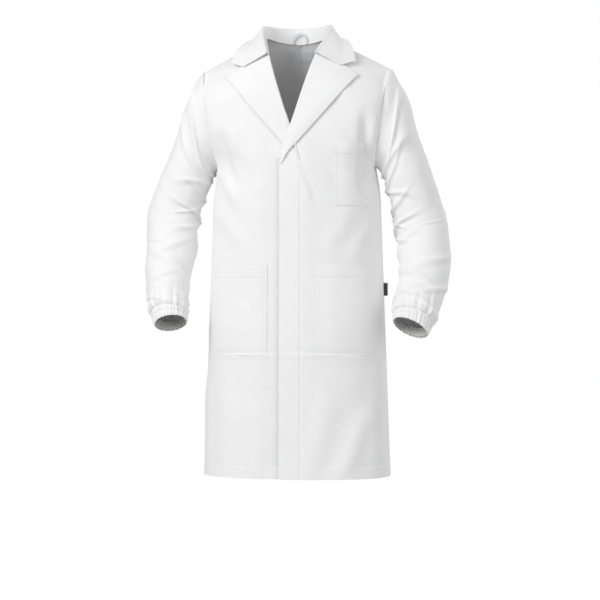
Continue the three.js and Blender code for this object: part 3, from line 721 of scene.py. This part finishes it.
def vent_off(side):
    height = 0.003 if side == "left" else -0.003

    def off(u, v, p):
        mirrored = p * np.array([SIGN[side], 1.0, 1.0])
        lap = height * (1 - smooth(np.abs(p[..., 0]), 0.025, 0.070)) * smooth(VENT_TOP - p[..., 2], 0, 0.05)
        edge = (1 - u) * 0.23
        return back_off(u, v, mirrored) + lap + FOLDED * (1 - smooth(edge, 0.030, 0.033))

    return off


def back_pieces():
    back = sheet("back", back_surface, 150, 150, TWILL, back_off)
    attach(back, "coat")
    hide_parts("left_upper_back", "right_upper_back")
    hem_row = HEM_DEEP / (LENGTH + VENT_TOP)
    rows = clustered(110, (hem_row,), 0.004)
    for side in SIGN:
        vent = sheet(f"{side}_vent", vent_surface, 75, rows, TWILL, vent_off(side), mirror=side == "right")
        with_vent(vent)
        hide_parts(f"{side}_vent_panel")
        turned = lambda u, v: vent_surface(u, v * hem_row * 0.97)
        inside = lambda u, v, p: vent_off(side)(u, v, p) - CLOTH - 0.0006
        hem = sheet(
            f"{side}_back_hem_turning", turned, 70, 6, TWILL, inside, mirror=side == "right",
        )
        with_vent(hem)
        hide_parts(f"{side}_back_hem")


# ---- Lapels ----
gorge_point = (float(front_edge(GORGE_Z)), GORGE_Z)
LAPEL_ROLL = 0.10  # share of the lapel's columns that turn round the roll


def flat_lapel():
    def roll(t):
        z = lerp(BREAK_Z + 0.008, GORGE_Z, t)
        return np.stack([front_edge(z), z], -1)

    edge = curve(
        [(-OVERLAP + 0.004, BREAK_Z - 0.004), (-0.004, BREAK_Z + 0.024), (0.022, BREAK_Z + 0.052), LAPEL_TIP]
    )
    start, end = roll(np.array(0.0)), edge(np.array(0.0))
    bottom = lambda t: start + (end - start) * t[..., None]
    return coons(bottom, path([gorge_point, NOTCH, LAPEL_TIP]), roll, edge)


lapel_flat = flat_lapel()


def lapel_surface(u, v):
    """The lapel on the chest: its first columns turn round the roll line."""
    w = np.clip((u - LAPEL_ROLL) / (1 - LAPEL_ROLL), 0, 1)
    flat = lapel_flat(w, v)
    x, z = flat[..., 0], flat[..., 1]
    return body_point(share_at(x, z), z, -1)


def lapel_off(side):
    def off(u, v, p):
        lift = LAPEL_LIFT * (0.5 + 0.5 * smooth(v, 0, 0.25))
        turned = np.sin((np.clip(u / LAPEL_ROLL, 0, 1) - 0.5) * np.pi) * 0.5 + 0.5
        soft = 0.0014 * smooth(u, 0.3, 0.8) * (1 - smooth(u, 0.85, 1)) * smooth(v, 0.2, 0.5)
        return front_lift(p[..., 0], p[..., 2], side) + lift * turned + soft + 0.0006 * waves(p, 0.09, 31)

    return off


def lapel_bulge(u, v, p):
    """How far the roll stands proud of the roll line, towards the opening."""
    turn = (np.clip(u / LAPEL_ROLL, 0, 1) - 0.5) * np.pi
    return -0.0028 * np.cos(turn)


def lapel_piece(side):
    surface = lambda u, v: lapel_surface(u, v) + lapel_bulge(u, v, None)[..., None] * np.array(
        [0.94, 0.0, -0.33]
    )
    columns = np.unique(np.concatenate([np.linspace(0, LAPEL_ROLL, 9), np.linspace(LAPEL_ROLL, 1, 40)]))
    off = lapel_off(side)
    piece = sheet(
        f"{side}_rolled_lapel", surface, columns, 110, TWILL, off, 0.0018, side == "right",
        rounded=0.0007,
    )
    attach(piece, "coat")
    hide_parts(f"{side}_lapel")


# ---- Collar ----
def on_chest(point, off):
    x, z = point
    p = body_point(share_at(x, z), z, -1)
    return (p[0], p[1] - off, p[2])


NAPE_Y = float(
    back_depth(np.array(0.0)) * math.sqrt(
        1 - (1 - min((NECK[1] + SHOULDER_SLOPE * NECK[0]) / SHOULDER_ROUND, 1)) ** 2
    )
)


def half_curve(points):
    """A curve out from the centre back, level where it crosses the centre."""
    mirrored = (-points[1][0], points[1][1], points[1][2])
    whole = curve([mirrored, *points])
    skip = 1 / len(points)
    return lambda t: whole(skip + (1 - skip) * t)


GORGE = on_chest(gorge_point, COLLAR_LIFT)
SHOULDER_EDGE = 0.114  # where the collar's edge crosses the shoulder seam
neck_seam = half_curve([
    (0, NAPE_Y - 0.003, -0.004),
    (0.050, 0.034, 0.0),
    (NECK[0] - 0.003, -0.002, 0.003),
    (0.068, -0.042, -0.010),
    (GORGE[0] - 0.003, GORGE[1], GORGE[2] + 0.003),
])
roll_line = half_curve([
    (0, NAPE_Y + 0.006, STAND),
    (0.056, 0.044, STAND + 0.001),
    (0.082, 0.002, STAND - 0.002),
    (0.077, -0.040, 0.002),
    (GORGE[0] + 0.002, GORGE[1] - 0.002, GORGE[2] + 0.003),
])
collar_edge = half_curve([
    (0, NAPE_Y + 0.026, -0.016),
    (0.064, 0.062, -0.014),
    (SHOULDER_EDGE, 0.002, float(shoulder_height(SHOULDER_EDGE)) + COLLAR_LIFT + 0.006),
    (0.138, -0.037, -0.0245),
    on_chest(COLLAR_TIP, COLLAR_LIFT + 0.005),
])
STAND_END = 0.35
FOLD_END = 0.5
FOLD_RADIUS = 0.004


def collar_surface(u, v):
    """Round the neck from u = 0 to 1, and from the neck seam over the fold to the outer edge with v."""
    t = np.abs(2 * u - 1)
    roll = roll_line(t)
    out = roll * np.array([1, 1.6, 0])
    out /= np.linalg.norm(out, axis=-1, keepdims=True)
    radius = (FOLD_RADIUS * (1 - 0.35 * t))[..., None]
    stand = lerp(neck_seam(t), roll - out * radius, np.clip(v / STAND_END, 0, 1)[..., None])
    turn = (np.pi * np.clip((v - STAND_END) / (FOLD_END - STAND_END), 0, 1))[..., None]
    fold = roll - out * radius * np.cos(turn) + np.array([0, 0, 1]) * radius * np.sin(turn)

    def start(s):
        r = roll_line(s)
        away = r * np.array([1, 1.6, 0])
        away = away / np.linalg.norm(away, axis=-1, keepdims=True)
        return r + away * (FOLD_RADIUS * (1 - 0.35 * s))[..., None]

    zero, one = np.array(0.0), np.array(1.0)
    back = lambda s: lerp(start(zero), collar_edge(zero), s[..., None])
    end = path([start(one), on_chest(NOTCH, COLLAR_LIFT + 0.002), collar_edge(one)])
    fall = coons(start, collar_edge, back, end)(t, np.clip((v - FOLD_END) / (1 - FOLD_END), 0, 1))
    p = np.where((v < STAND_END)[..., None], stand, np.where((v < FOLD_END)[..., None], fold, fall))
    p[..., 0] *= np.where(u < 0.5, -1, 1)
    return p


def collar_piece():
    rows = np.unique(
        np.concatenate(
            [
                np.linspace(0, STAND_END, 10), np.linspace(STAND_END, FOLD_END, 13),
                np.linspace(FOLD_END, 1, 28),
            ]
        )
    )

    def off(u, v, p):
        worn = 0.0008 * waves(p, 0.08, 41) * smooth(v, 0.5, 0.7)
        return 0.0014 + worn

    piece = sheet("collar", collar_surface, 150, rows, TWILL, off, 0.0028, rounded=0.001)
    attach(piece, "coat")
    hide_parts("upper_collar", "under_collar", "collar_interlining")


# ---- Pockets ----
def pocket_surface(pocket):
    low, high = pocket["top"] - pocket["drop"], pocket["top"]
    middle = (low + high) / 2
    stations = np.linspace(float(share_at(pocket["inner"], middle)), 1, 200)
    line = body_point(stations, middle, -1)
    run = np.concatenate([[0], np.cumsum(np.linalg.norm(np.diff(line, axis=0), axis=1))])
    reach = np.interp(pocket["width"], run, stations) - stations[0]

    def surface(u, v):
        z = lerp(low, high, v)
        inner = share_at(pocket["inner"], z)
        return body_point(lerp(inner, inner + reach, u), z, -1)

    return surface


def pocket_off(pocket, side):
    """A patch: sewn down round three sides, standing off a little in the middle and at the mouth."""

    def off(u, v, p):
        inset = np.minimum(np.minimum(u, 1 - u) * pocket["width"], v * pocket["drop"])
        raised = pocket["bulge"] * smooth(np.minimum(u, 1 - u), 0, 0.3) * smooth(v, 0, 0.35)
        mouth = (1 - v) * pocket["drop"] - POCKET_HEM
        hem = 0.5 * FOLDED * (1 - smooth(mouth, -0.0015, 0.0015)) - 0.0005 * bump(mouth, 0.0014)
        sewn = 0.0004 * smooth(inset, 0.0005, 0.003) - 0.0004 * bump(inset - 0.005, 0.0014)
        sag = 0.0012 * bump(u - 0.35, 0.12) * smooth(v, 0.7, 1) + 0.0005 * waves(p, 0.07, 51)
        return body_folds(p, -1, SIGN[side]) + front_lift(
            p[..., 0], p[..., 2], side,
        ) + 0.0011 + sewn + raised + hem + sag

    return off


def pocket_piece(side, name, pocket, move):
    surface, off = pocket_surface(pocket), pocket_off(pocket, side)
    line = 0.005 / pocket["width"]
    columns = clustered(48, (line, 1 - line), 0.02)
    rows = clustered(60, (0.005 / pocket["drop"], 1 - POCKET_HEM / pocket["drop"]), 0.012)
    piece = sheet(f"{name}_patch", surface, columns, rows, TWILL, off, mirror=side == "right")
    move(piece)
    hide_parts(name)
    low = 1 - POCKET_HEM / pocket["drop"]
    mouth = lambda u, v: surface(lerp(0.17, 0.83, u), lerp(low, 1, v))
    inside = lambda u, v, p: off(lerp(0.17, 0.83, u), lerp(low, 1, v), p) - CLOTH - 0.0002
    turning = sheet(f"{name}_turning", mouth, 30, 8, TWILL, inside, 0.0006, side == "right")
    move(turning)
    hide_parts(f"{name}_hem")


# ---- Fly, facing, buttons ----
def strip_surface(low, high, inner, outer):
    def surface(u, v):
        z = lerp(low, high, v)
        return body_point(share_at(lerp(inner, outer, u), z), z, -1)

    return surface


def fly_pieces():
    low, high = BUTTON_ZS[-1] - 0.040, BREAK_Z - 0.014

    def under(u, v, p):
        return front_off("left")(np.full_like(u, 0.5), v, p) - CLOTH - 0.0010

    fly = sheet(
        "buttonhole_fly", strip_surface(low, high, -0.021, 0.021), 14, 110, TWILL, under,
    )
    with_front(fly)
    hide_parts("fly_strip", "fly_strip_top")

    def behind(u, v, p):
        return front_off("right")(np.full_like(u, 0.5), v, p) - CLOTH - 0.0008

    surface = strip_surface(-LENGTH + HEM_DEEP, BREAK_Z - 0.02, -0.023, 0.023)
    facing = sheet("right_facing", surface, 14, 130, TWILL, behind, mirror=True)
    with_front(facing)
    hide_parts("right_front_facing")


def button_piece(index, z):
    """A four-hole button with a sunk middle, turned by a half turn of its profile, and its thread."""
    shape = bmesh.new()
    outline = [
        (0.0001, 0.0010), (0.0052, 0.0010), (0.0066, 0.0021), (0.0082, 0.0023), (0.0090, 0.0012),
        (0.0082, 0.0), (0.0001, 0.0),
    ]
    points = [shape.verts.new((r, 0, h)) for r, h in outline]
    edges = [shape.edges.new(pair) for pair in zip(points, points[1:])]
    bmesh.ops.spin(
        shape, geom=points + edges, cent=(0, 0, 0), axis=(0, 0, 1), angle=2 * math.pi, steps=36,
        use_merge=True,
    )
    rims = [e for e in shape.edges if e.is_boundary]
    bmesh.ops.holes_fill(shape, edges=rims, sides=0)
    for k in range(4):
        angle = math.pi / 4 + k * math.pi / 2
        spot = Matrix.Translation((0.0018 * math.cos(angle), 0.0018 * math.sin(angle), 0.0012))
        bmesh.ops.create_uvsphere(shape, u_segments=8, v_segments=6, radius=0.0007, matrix=spot)
    x = float(front_lift(np.array(0.0), np.array(z), "right"))
    place = Matrix.Translation(body_at(0, -float(front_depth(np.array(z))) - x - 0.0012, z))
    bmesh.ops.transform(shape, matrix=place @ Matrix.Rotation(math.pi / 2, 4, "X"), verts=shape.verts)
    bmesh.ops.recalc_face_normals(shape, faces=shape.faces)
    for face in shape.faces:
        face.smooth = True
    piece = solid_from(f"fly_button_{index}", shape, BUTTON)
    with_front(piece)
    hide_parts(f"button_{index}")


def solid_from(name, shape, material):
    mesh = bpy.data.meshes.new(name)
    shape.to_mesh(mesh)
    shape.free()
    mesh.materials.append(material)
    piece = bpy.data.objects.new(name, mesh)
    bpy.context.scene.collection.objects.link(piece)
    return piece


# ---- Sleeves ----
def sleeve_shape(side):
    rings = SLEEVES[side]
    outer = curve([(r[0], r[4], r[1]) for r in rings])
    inner = curve([(r[2], r[4], r[3]) for r in rings])
    deep = curve([(i, r[5], 0) for i, r in enumerate(rings)])

    def at(angle, t):
        """angle 0 is the sleeve's outer edge and a quarter turn is its front."""
        reach = (outer(t) - inner(t)) / 2
        middle = (outer(t) + inner(t)) / 2
        above, below = np.maximum(t - 0.01, 0), np.minimum(t + 0.01, 1)
        down = (outer(below) + inner(below) - outer(above) - inner(above)) / 2
        front = np.cross(down, reach)
        front = front / np.linalg.norm(front, axis=-1, keepdims=True)
        p = middle + reach * np.cos(angle)[..., None] + front * (deep(t)[..., 1] * np.sin(angle))[..., None]
        z = (SHOULDER[1] + ARMPIT[1]) / 2 + np.cos(angle) * (SHOULDER[1] - ARMPIT[1]) / 2
        y = -np.sin(angle) * np.where(np.sin(angle) > 0, ARMHOLE_FRONT, ARMHOLE_BACK)
        seam = np.stack([half_width(z) + 0 * y, y, z], -1)
        return lerp(p, seam, (1 - smooth(t, 0, 0.035))[..., None])

    return at


# Folds round a sleeve: share down it, angle of the middle in degrees, half angle, slope, width, height.
SLEEVE_FOLDS = {
    "left": (
        (0.10, 70, 55, 0.05, 0.016, 0.0050),
        (0.17, 100, 60, -0.05, 0.018, 0.0042),
        (0.13, 180, 60, 0.00, 0.020, 0.0050),
        (0.26, 150, 70, 0.06, 0.016, 0.0045),
        (0.33, 130, 60, -0.08, 0.014, 0.0038),
        (0.415, 165, 75, 0.05, 0.012, 0.0055),
        (0.455, 190, 70, -0.06, 0.011, 0.0050),
        (0.50, 160, 80, 0.04, 0.012, 0.0060),
        (0.545, 185, 70, -0.05, 0.012, 0.0048),
        (0.60, 150, 60, 0.06, 0.015, 0.0036),
        (0.495, 40, 60, 0.03, 0.006, 0.0014),
        (0.69, 60, 70, 0.05, 0.016, 0.0030),
        (0.75, 120, 80, -0.05, 0.015, 0.0040),
        (0.81, 40, 70, 0.04, 0.013, 0.0035),
        (0.85, 150, 80, 0.03, 0.012, 0.0045),
        (0.88, 80, 60, -0.04, 0.010, 0.0035),
        (0.30, 270, 60, 0.06, 0.020, 0.0040),
        (0.52, 285, 60, -0.05, 0.016, 0.0036),
    ),
    "right": (
        (0.09, 60, 60, 0.06, 0.016, 0.0060),
        (0.15, 95, 60, 0.04, 0.018, 0.0055),
        (0.21, 75, 60, 0.05, 0.016, 0.0035),
        (0.14, 180, 60, 0.00, 0.020, 0.0050),
        (0.28, 140, 65, -0.06, 0.016, 0.0042),
        (0.36, 160, 70, 0.06, 0.013, 0.0045),
        (0.43, 175, 75, -0.05, 0.012, 0.0055),
        (0.475, 160, 75, 0.05, 0.012, 0.0055),
        (0.53, 180, 80, -0.04, 0.012, 0.0055),
        (0.59, 150, 60, 0.05, 0.014, 0.0038),
        (0.625, 45, 70, 0.02, 0.006, 0.0014),
        (0.67, 80, 70, -0.05, 0.016, 0.0032),
        (0.74, 130, 80, 0.05, 0.015, 0.0040),
        (0.80, 60, 70, -0.04, 0.013, 0.0035),
        (0.85, 150, 80, 0.03, 0.012, 0.0045),
        (0.88, 30, 60, 0.04, 0.010, 0.0035),
        (0.31, 265, 60, 0.06, 0.020, 0.0040),
        (0.50, 280, 60, -0.05, 0.016, 0.0036),
    ),
}


def round_gap(angle, middle):
    """The angle from middle, from minus to plus half a turn."""
    return (angle - middle + np.pi) % (2 * np.pi) - np.pi


def sleeve_folds(angle, t, p, side):
    total = 0.0
    for down, middle, half, slope, width, height in SLEEVE_FOLDS[side]:
        gap = round_gap(angle, math.radians(middle))
        reach = 1 - smooth(np.abs(gap), 0.35 * math.radians(half), math.radians(half) * 1.25)
        off = t - down - slope * gap - 0.004 * np.sin(3 * gap + down * 40)
        total = total + height * reach * (bump(off, width) - 0.4 * bump(off - 1.8 * width, 1.4 * width))
    total = total + 0.0022 * waves(p, 0.11, 60 + SIGN[side]) + 0.0008 * waves(p, 0.045, 62 + SIGN[side])
    gather = smooth(t, 0.80, 0.935)
    pleats = np.cos(15 * angle + 1.5 * np.sin(2 * angle)) + 0.5 * np.cos(23 * angle + 1.0)
    total = total + 0.0016 * gather * pleats + 0.0045 * bump(t - 0.915, 0.022)
    head = smooth(t, 0.0, 0.03)
    return total * head + 0.0010 * bump(t - 0.02, 0.016)


def cuff_relief(angle, t):
    """Gathers held by the elastic, with a tuck at the cuff's seam and one through its middle."""
    start = 1 - CUFF_SHARE
    inside = smooth(t, start - 0.004, start + 0.004)
    pleats = np.cos(31 * angle + np.sin(3 * angle)) + 0.6 * np.cos(19 * angle + 2)
    middle = start + CUFF_SHARE / 2
    swell = np.abs(np.sin(np.clip((t - start) / CUFF_SHARE, 0, 1) * 2 * np.pi))
    return inside * (
        0.0009 * pleats + 0.0016 * swell - 0.0006 * bump(t - middle, 0.004)
    ) - 0.0022 * bump(t - start, 0.006)


def sleeve_piece(side, name, top, bottom, around, down, move, replaced):
    shape = sleeve_shape(side)

    def surface(u, v):
        return shape(-u * 2 * np.pi, lerp(bottom, top, v))

    def off(u, v, p):
        angle, t = -u * 2 * np.pi, lerp(bottom, top, v)
        seam = 0.0007 * bump(round_gap(angle, np.pi * 1.35), 0.02)
        calm = 1 - smooth(t, 0.93, 0.945)
        return sleeve_folds(angle, t, p, side) * calm + cuff_relief(angle, t) - seam

    piece = sheet(
        name, surface, around, down, TWILL, off, mirror=side == "right", closed=True,
    )
    move(piece)
    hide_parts(*replaced)
    return piece


def sleeve_pieces(side):
    sign = SIGN[side]

    def at_armhole(piece):
        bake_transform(piece)

    shape = sleeve_shape(side)
    ends = [shape(np.array([0.0, np.pi]), np.array([t, t])).mean(0) for t in (0.36, 0.64)]
    along = (ends[1] - ends[0]) * np.array([sign, 1, 1])
    along /= np.linalg.norm(along)

    def at_elbow(piece):
        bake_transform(piece)

    upper = [f"{side}_upper_sleeve_outer", f"{side}_upper_sleeve_under"]
    parts = ("elbow_outer", "elbow_under", "lower_sleeve_outer", "lower_sleeve_under", "cuff")
    lower = [f"{side}_{part}" for part in parts]
    sleeve_piece(side, f"{side}_sleeve_head", 0.0, SLEEVE_SPLIT, 120, 80, at_armhole, upper)
    sleeve_piece(side, f"{side}_sleeve", SLEEVE_SPLIT, 1.0, 160, 190, at_elbow, lower)

    def band(u, v):
        return shape(-u * 2 * np.pi, lerp(0.994, 1 - CUFF_SHARE + 0.008, v))

    def inside(u, v, p):
        return -0.0030 + 0.0006 * np.cos(62 * u * np.pi)

    elastic = sheet(
        f"{side}_elastic", band, 120, 10, ELASTIC, inside, 0.0007, side == "right", True,
    )
    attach(elastic, f"{side}_forearm")
    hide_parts(f"{side}_cuff_elastic")


# ---- Loop and labels ----
def loop_piece():
    """A flat tape folded into an arch, its ends sewn inside the back of the neck."""
    low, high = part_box("hang_loop")
    y = (low.y + high.y) / 2 - TO_PART[1]
    base = low.z - TO_PART[2]
    arch = curve([(-0.0175, y, base), (
        -0.0165, y, base + 0.010,
    ), (-0.0095, y, base + 0.022), (0, y, base + 0.0255),
                  (0.0095, y, base + 0.022), (0.0165, y, base + 0.010), (0.0175, y, base)])

    def surface(u, v):
        line = arch(u)
        step = arch(np.minimum(u + 1e-3, 1)) - arch(np.maximum(u - 1e-3, 0))
        side = np.stack([-step[..., 2], 0 * u, step[..., 0]], -1)
        side /= np.linalg.norm(side, axis=-1, keepdims=True)
        return line + side * (v[..., None] - 0.5) * 0.0055

    tape = sheet("hanging_loop", surface, 48, 4, TAPE, None, 0.0011)
    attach(tape, "coat")
    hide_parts("hang_loop")


def label_pieces():
    low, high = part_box("neck_label")
    half, bottom, top = high.x, low.z - TO_PART[2], high.z - TO_PART[2]

    def neck(u, v):
        z = lerp(bottom, top, v)
        return body_point(share_at(lerp(half, -half, u), z), z, 1)

    behind = lambda u, v, p: body_folds(p, 1) - CLOTH - 0.0006 + 0 * u
    label = sheet("neck_label_tape", neck, 24, 10, NECK_LABEL, behind, 0.0006)
    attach(label, "coat")
    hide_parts("neck_label")
    low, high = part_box("side_label")
    start, end = low - Vector(TO_PART), high - Vector(TO_PART)

    def tag(u, v):
        x = lerp(start.x - 0.002, end.x, u)
        z = lerp(start.z, end.z, v)
        return np.stack([x, 0.0006 * np.sin(u * 2.2), z], -1)

    piece = sheet("side_tag", tag, 10, 14, SIDE_TAG, None, 0.0008)
    with_front(piece)
    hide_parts("side_label")


# ---- Stitches ----
STITCH = (0.0022, 0.00045, 0.00035)
STITCH_PITCH = 0.0031


def stitch_row(name, points, normals, move):
    """Small stitches laid end to end along points, lying on the cloth."""
    p = np.asarray(points) + np.asarray(normals) * 0.0001
    run = np.concatenate([[0], np.cumsum(np.linalg.norm(np.diff(p, axis=0), axis=1))])
    shape = bmesh.new()
    for s in np.arange(STITCH_PITCH, run[-1] - STITCH_PITCH, STITCH_PITCH):
        spot = Vector([np.interp(s, run, p[:, k]) for k in range(3)])
        ahead = Vector([np.interp(s + 0.001, run, p[:, k]) for k in range(3)])
        up = Vector([np.interp(s, run, normals[:, k]) for k in range(3)]).normalized()
        forward_way = (ahead - spot).normalized()
        side_way = up.cross(forward_way).normalized()
        turn = Matrix((forward_way, side_way, up)).transposed().to_4x4()
        size = Matrix.Diagonal((*STITCH, 1))
        bmesh.ops.create_cube(shape, size=1, matrix=Matrix.Translation(spot) @ turn @ size)
    piece = solid_from(name, shape, THREAD)
    move(piece)
    return piece


def line_on(surface, off, u, v, mirror=False):
    """Points and normals along stations (u, v) of a pushed surface, in the part's frame."""
    plain = surface(u, v)
    n = normals_of(surface, u, v)
    p = plain + n * off(u, v, plain)[..., None] + TO_PART
    if mirror:
        p, n = p * [-1, 1, 1], n * [-1, 1, 1]
    return p, n


def stitches():
    ride_coat = lambda piece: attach(piece, "coat")
    down = np.linspace(0, 1, 400)
    top = chest_row(BREAK_Z - 0.028)
    off = front_off("left")
    p, n = line_on(front_surface, off, np.full(400, FLY_COLUMN), down * top)
    stitch_row("fly_stitches", p, n, follow())
    hem_row = HEM_DEEP / (LENGTH + SPLIT_Z) * SPLIT_ROW
    for side in SIGN:
        mirror = side == "right"
        p, n = line_on(front_surface, front_off(side), down * 0.995, np.full(400, hem_row), mirror)
        stitch_row(f"{side}_hem_stitches", p, n, follow())
        vent_row = HEM_DEEP / (LENGTH + VENT_TOP)
        p, n = line_on(vent_surface, vent_off(side), down, np.full(400, vent_row), mirror)
        stitch_row(f"{side}_back_hem_stitches", p, n, lambda piece: with_vent(piece))
        edge_u = np.full(400, 1 - 0.012)
        p, n = line_on(lapel_surface, lapel_off(side), edge_u + 0 * down, lerp(0.06, 0.985, down), mirror)
        stitch_row(f"{side}_lapel_stitches", p, n, ride_coat)
    for side, name, pocket in (
        ("left", "left_hip_pocket", HIP_POCKET), ("right", "right_hip_pocket", HIP_POCKET),
        ("left", "breast_pocket", BREAST_POCKET),
    ):
        surface, off = pocket_surface(pocket), pocket_off(pocket, side)
        in_u, in_v = 0.005 / pocket["width"], 0.005 / pocket["drop"]
        route = path([(in_u, 1), (in_u, in_v), (1 - in_u, in_v), (1 - in_u, 1)])(down)
        p, n = line_on(surface, off, route[:, 0], route[:, 1], side == "right")
        stitch_row(f"{name}_stitches", p, n, follow())
        mouth = np.full(400, 1 - POCKET_HEM / pocket["drop"])
        p, n = line_on(surface, off, lerp(in_u, 1 - in_u, down), mouth, side == "right")
        stitch_row(f"{name}_hem_stitches", p, n, follow())
    collar = lambda u, v: collar_surface(u, v)
    thick = lambda u, v, q: 0.0014 + 0.0008 * waves(q, 0.08, 41)
    p, n = line_on(collar, thick, lerp(0.03, 0.97, down), np.full(400, 0.945))
    stitch_row("collar_stitches", p, n, ride_coat)


# ---- Build ----
for front_side in SIGN:
    front_piece(front_side)
    lapel_piece(front_side)
    sleeve_pieces(front_side)
back_pieces()
collar_piece()
pocket_piece("left", "left_hip_pocket", HIP_POCKET, follow())
pocket_piece("right", "right_hip_pocket", HIP_POCKET, follow())
pocket_piece("left", "breast_pocket", BREAST_POCKET, follow())
fly_pieces()
for button_index, button_z in enumerate(BUTTON_ZS, 1):
    button_piece(button_index, button_z)
loop_piece()
label_pieces()
stitches()


# ---- Floor, light and camera ----
FLOOR_DEPTH = -1.62  # well under the hem, so that the coat hangs clear of it
FLOOR_RADIUS = 1.0
AMBIENT = 0.42  # the white room's light on the cloth; the camera sees the room at full white
CAMERA_TURN = 8  # degrees round from straight in front, towards the wearer's left
CAMERA_DISTANCE = 4
CAMERA_TARGET = (0.007, SEAM_Y, -0.649)
HALF_VIEW = 0.726  # half of what the camera takes in at the coat's distance
SOFTBOXES = (  # name, place, watts, size
    ("key", (-2.1, -2.8, 1.1), 86, 1.8),
    ("fill", (2.6, -2.6, 0.4), 34, 2.2),
    ("rear", (2.4, 2.4, 1.2), 40, 1.8),
)


def stage():
    shape = bmesh.new()
    bmesh.ops.create_circle(shape, cap_ends=True, segments=96, radius=FLOOR_RADIUS)
    bmesh.ops.transform(shape, matrix=Matrix.Translation((0, 0, FLOOR_DEPTH)), verts=shape.verts)
    floor_material, tree, body = shader("pale_floor", 0xF2F2F2, 0.7)
    floor = solid_from("floor", shape, floor_material)

    world = bpy.data.worlds.new("studio")
    world.use_nodes = True
    bpy.context.scene.world = world
    tree = world.node_tree
    back = tree.nodes["Background"]
    back.inputs["Color"].default_value = (1, 1, 1, 1)
    back.inputs["Strength"].default_value = AMBIENT
    seen = add(tree, "ShaderNodeBackground", {"Color": (1, 1, 1, 1), "Strength": 1.0})
    ray = add(tree, "ShaderNodeLightPath")
    pick = add(
        tree, "ShaderNodeMixShader",
        {0: ray.outputs["Is Camera Ray"], 1: back.outputs[0], 2: seen.outputs[0]},
    )
    tree.links.new(pick.outputs[0], tree.nodes["World Output"].inputs["Surface"])

    def softbox(name, place, power, size, target=(0, SEAM_Y, -0.55)):
        light = bpy.data.lights.new(name, "AREA")
        light.shape = "SQUARE"
        light.size = size
        light.energy = power
        lamp = bpy.data.objects.new(name, light)
        bpy.context.scene.collection.objects.link(lamp)
        lamp.location = place
        lamp.rotation_euler = (Vector(target) - Vector(place)).to_track_quat("-Z", "Y").to_euler()

    for name, place, power, size in SOFTBOXES:
        softbox(name, place, power, size)

    scene = bpy.context.scene
    scene.view_settings.view_transform = "Standard"
    scene.view_settings.look = "None"
    turn = math.radians(CAMERA_TURN)
    target = Vector(CAMERA_TARGET)
    camera = bpy.data.cameras.new("camera")
    camera.angle = 2 * math.atan(HALF_VIEW / CAMERA_DISTANCE)
    eye = bpy.data.objects.new("camera", camera)
    scene.collection.objects.link(eye)
    eye.location = target + CAMERA_DISTANCE * Vector((math.sin(turn), -math.cos(turn), 0))
    eye.rotation_euler = (target - eye.location).to_track_quat("-Z", "Y").to_euler()
    scene.camera = eye


stage()
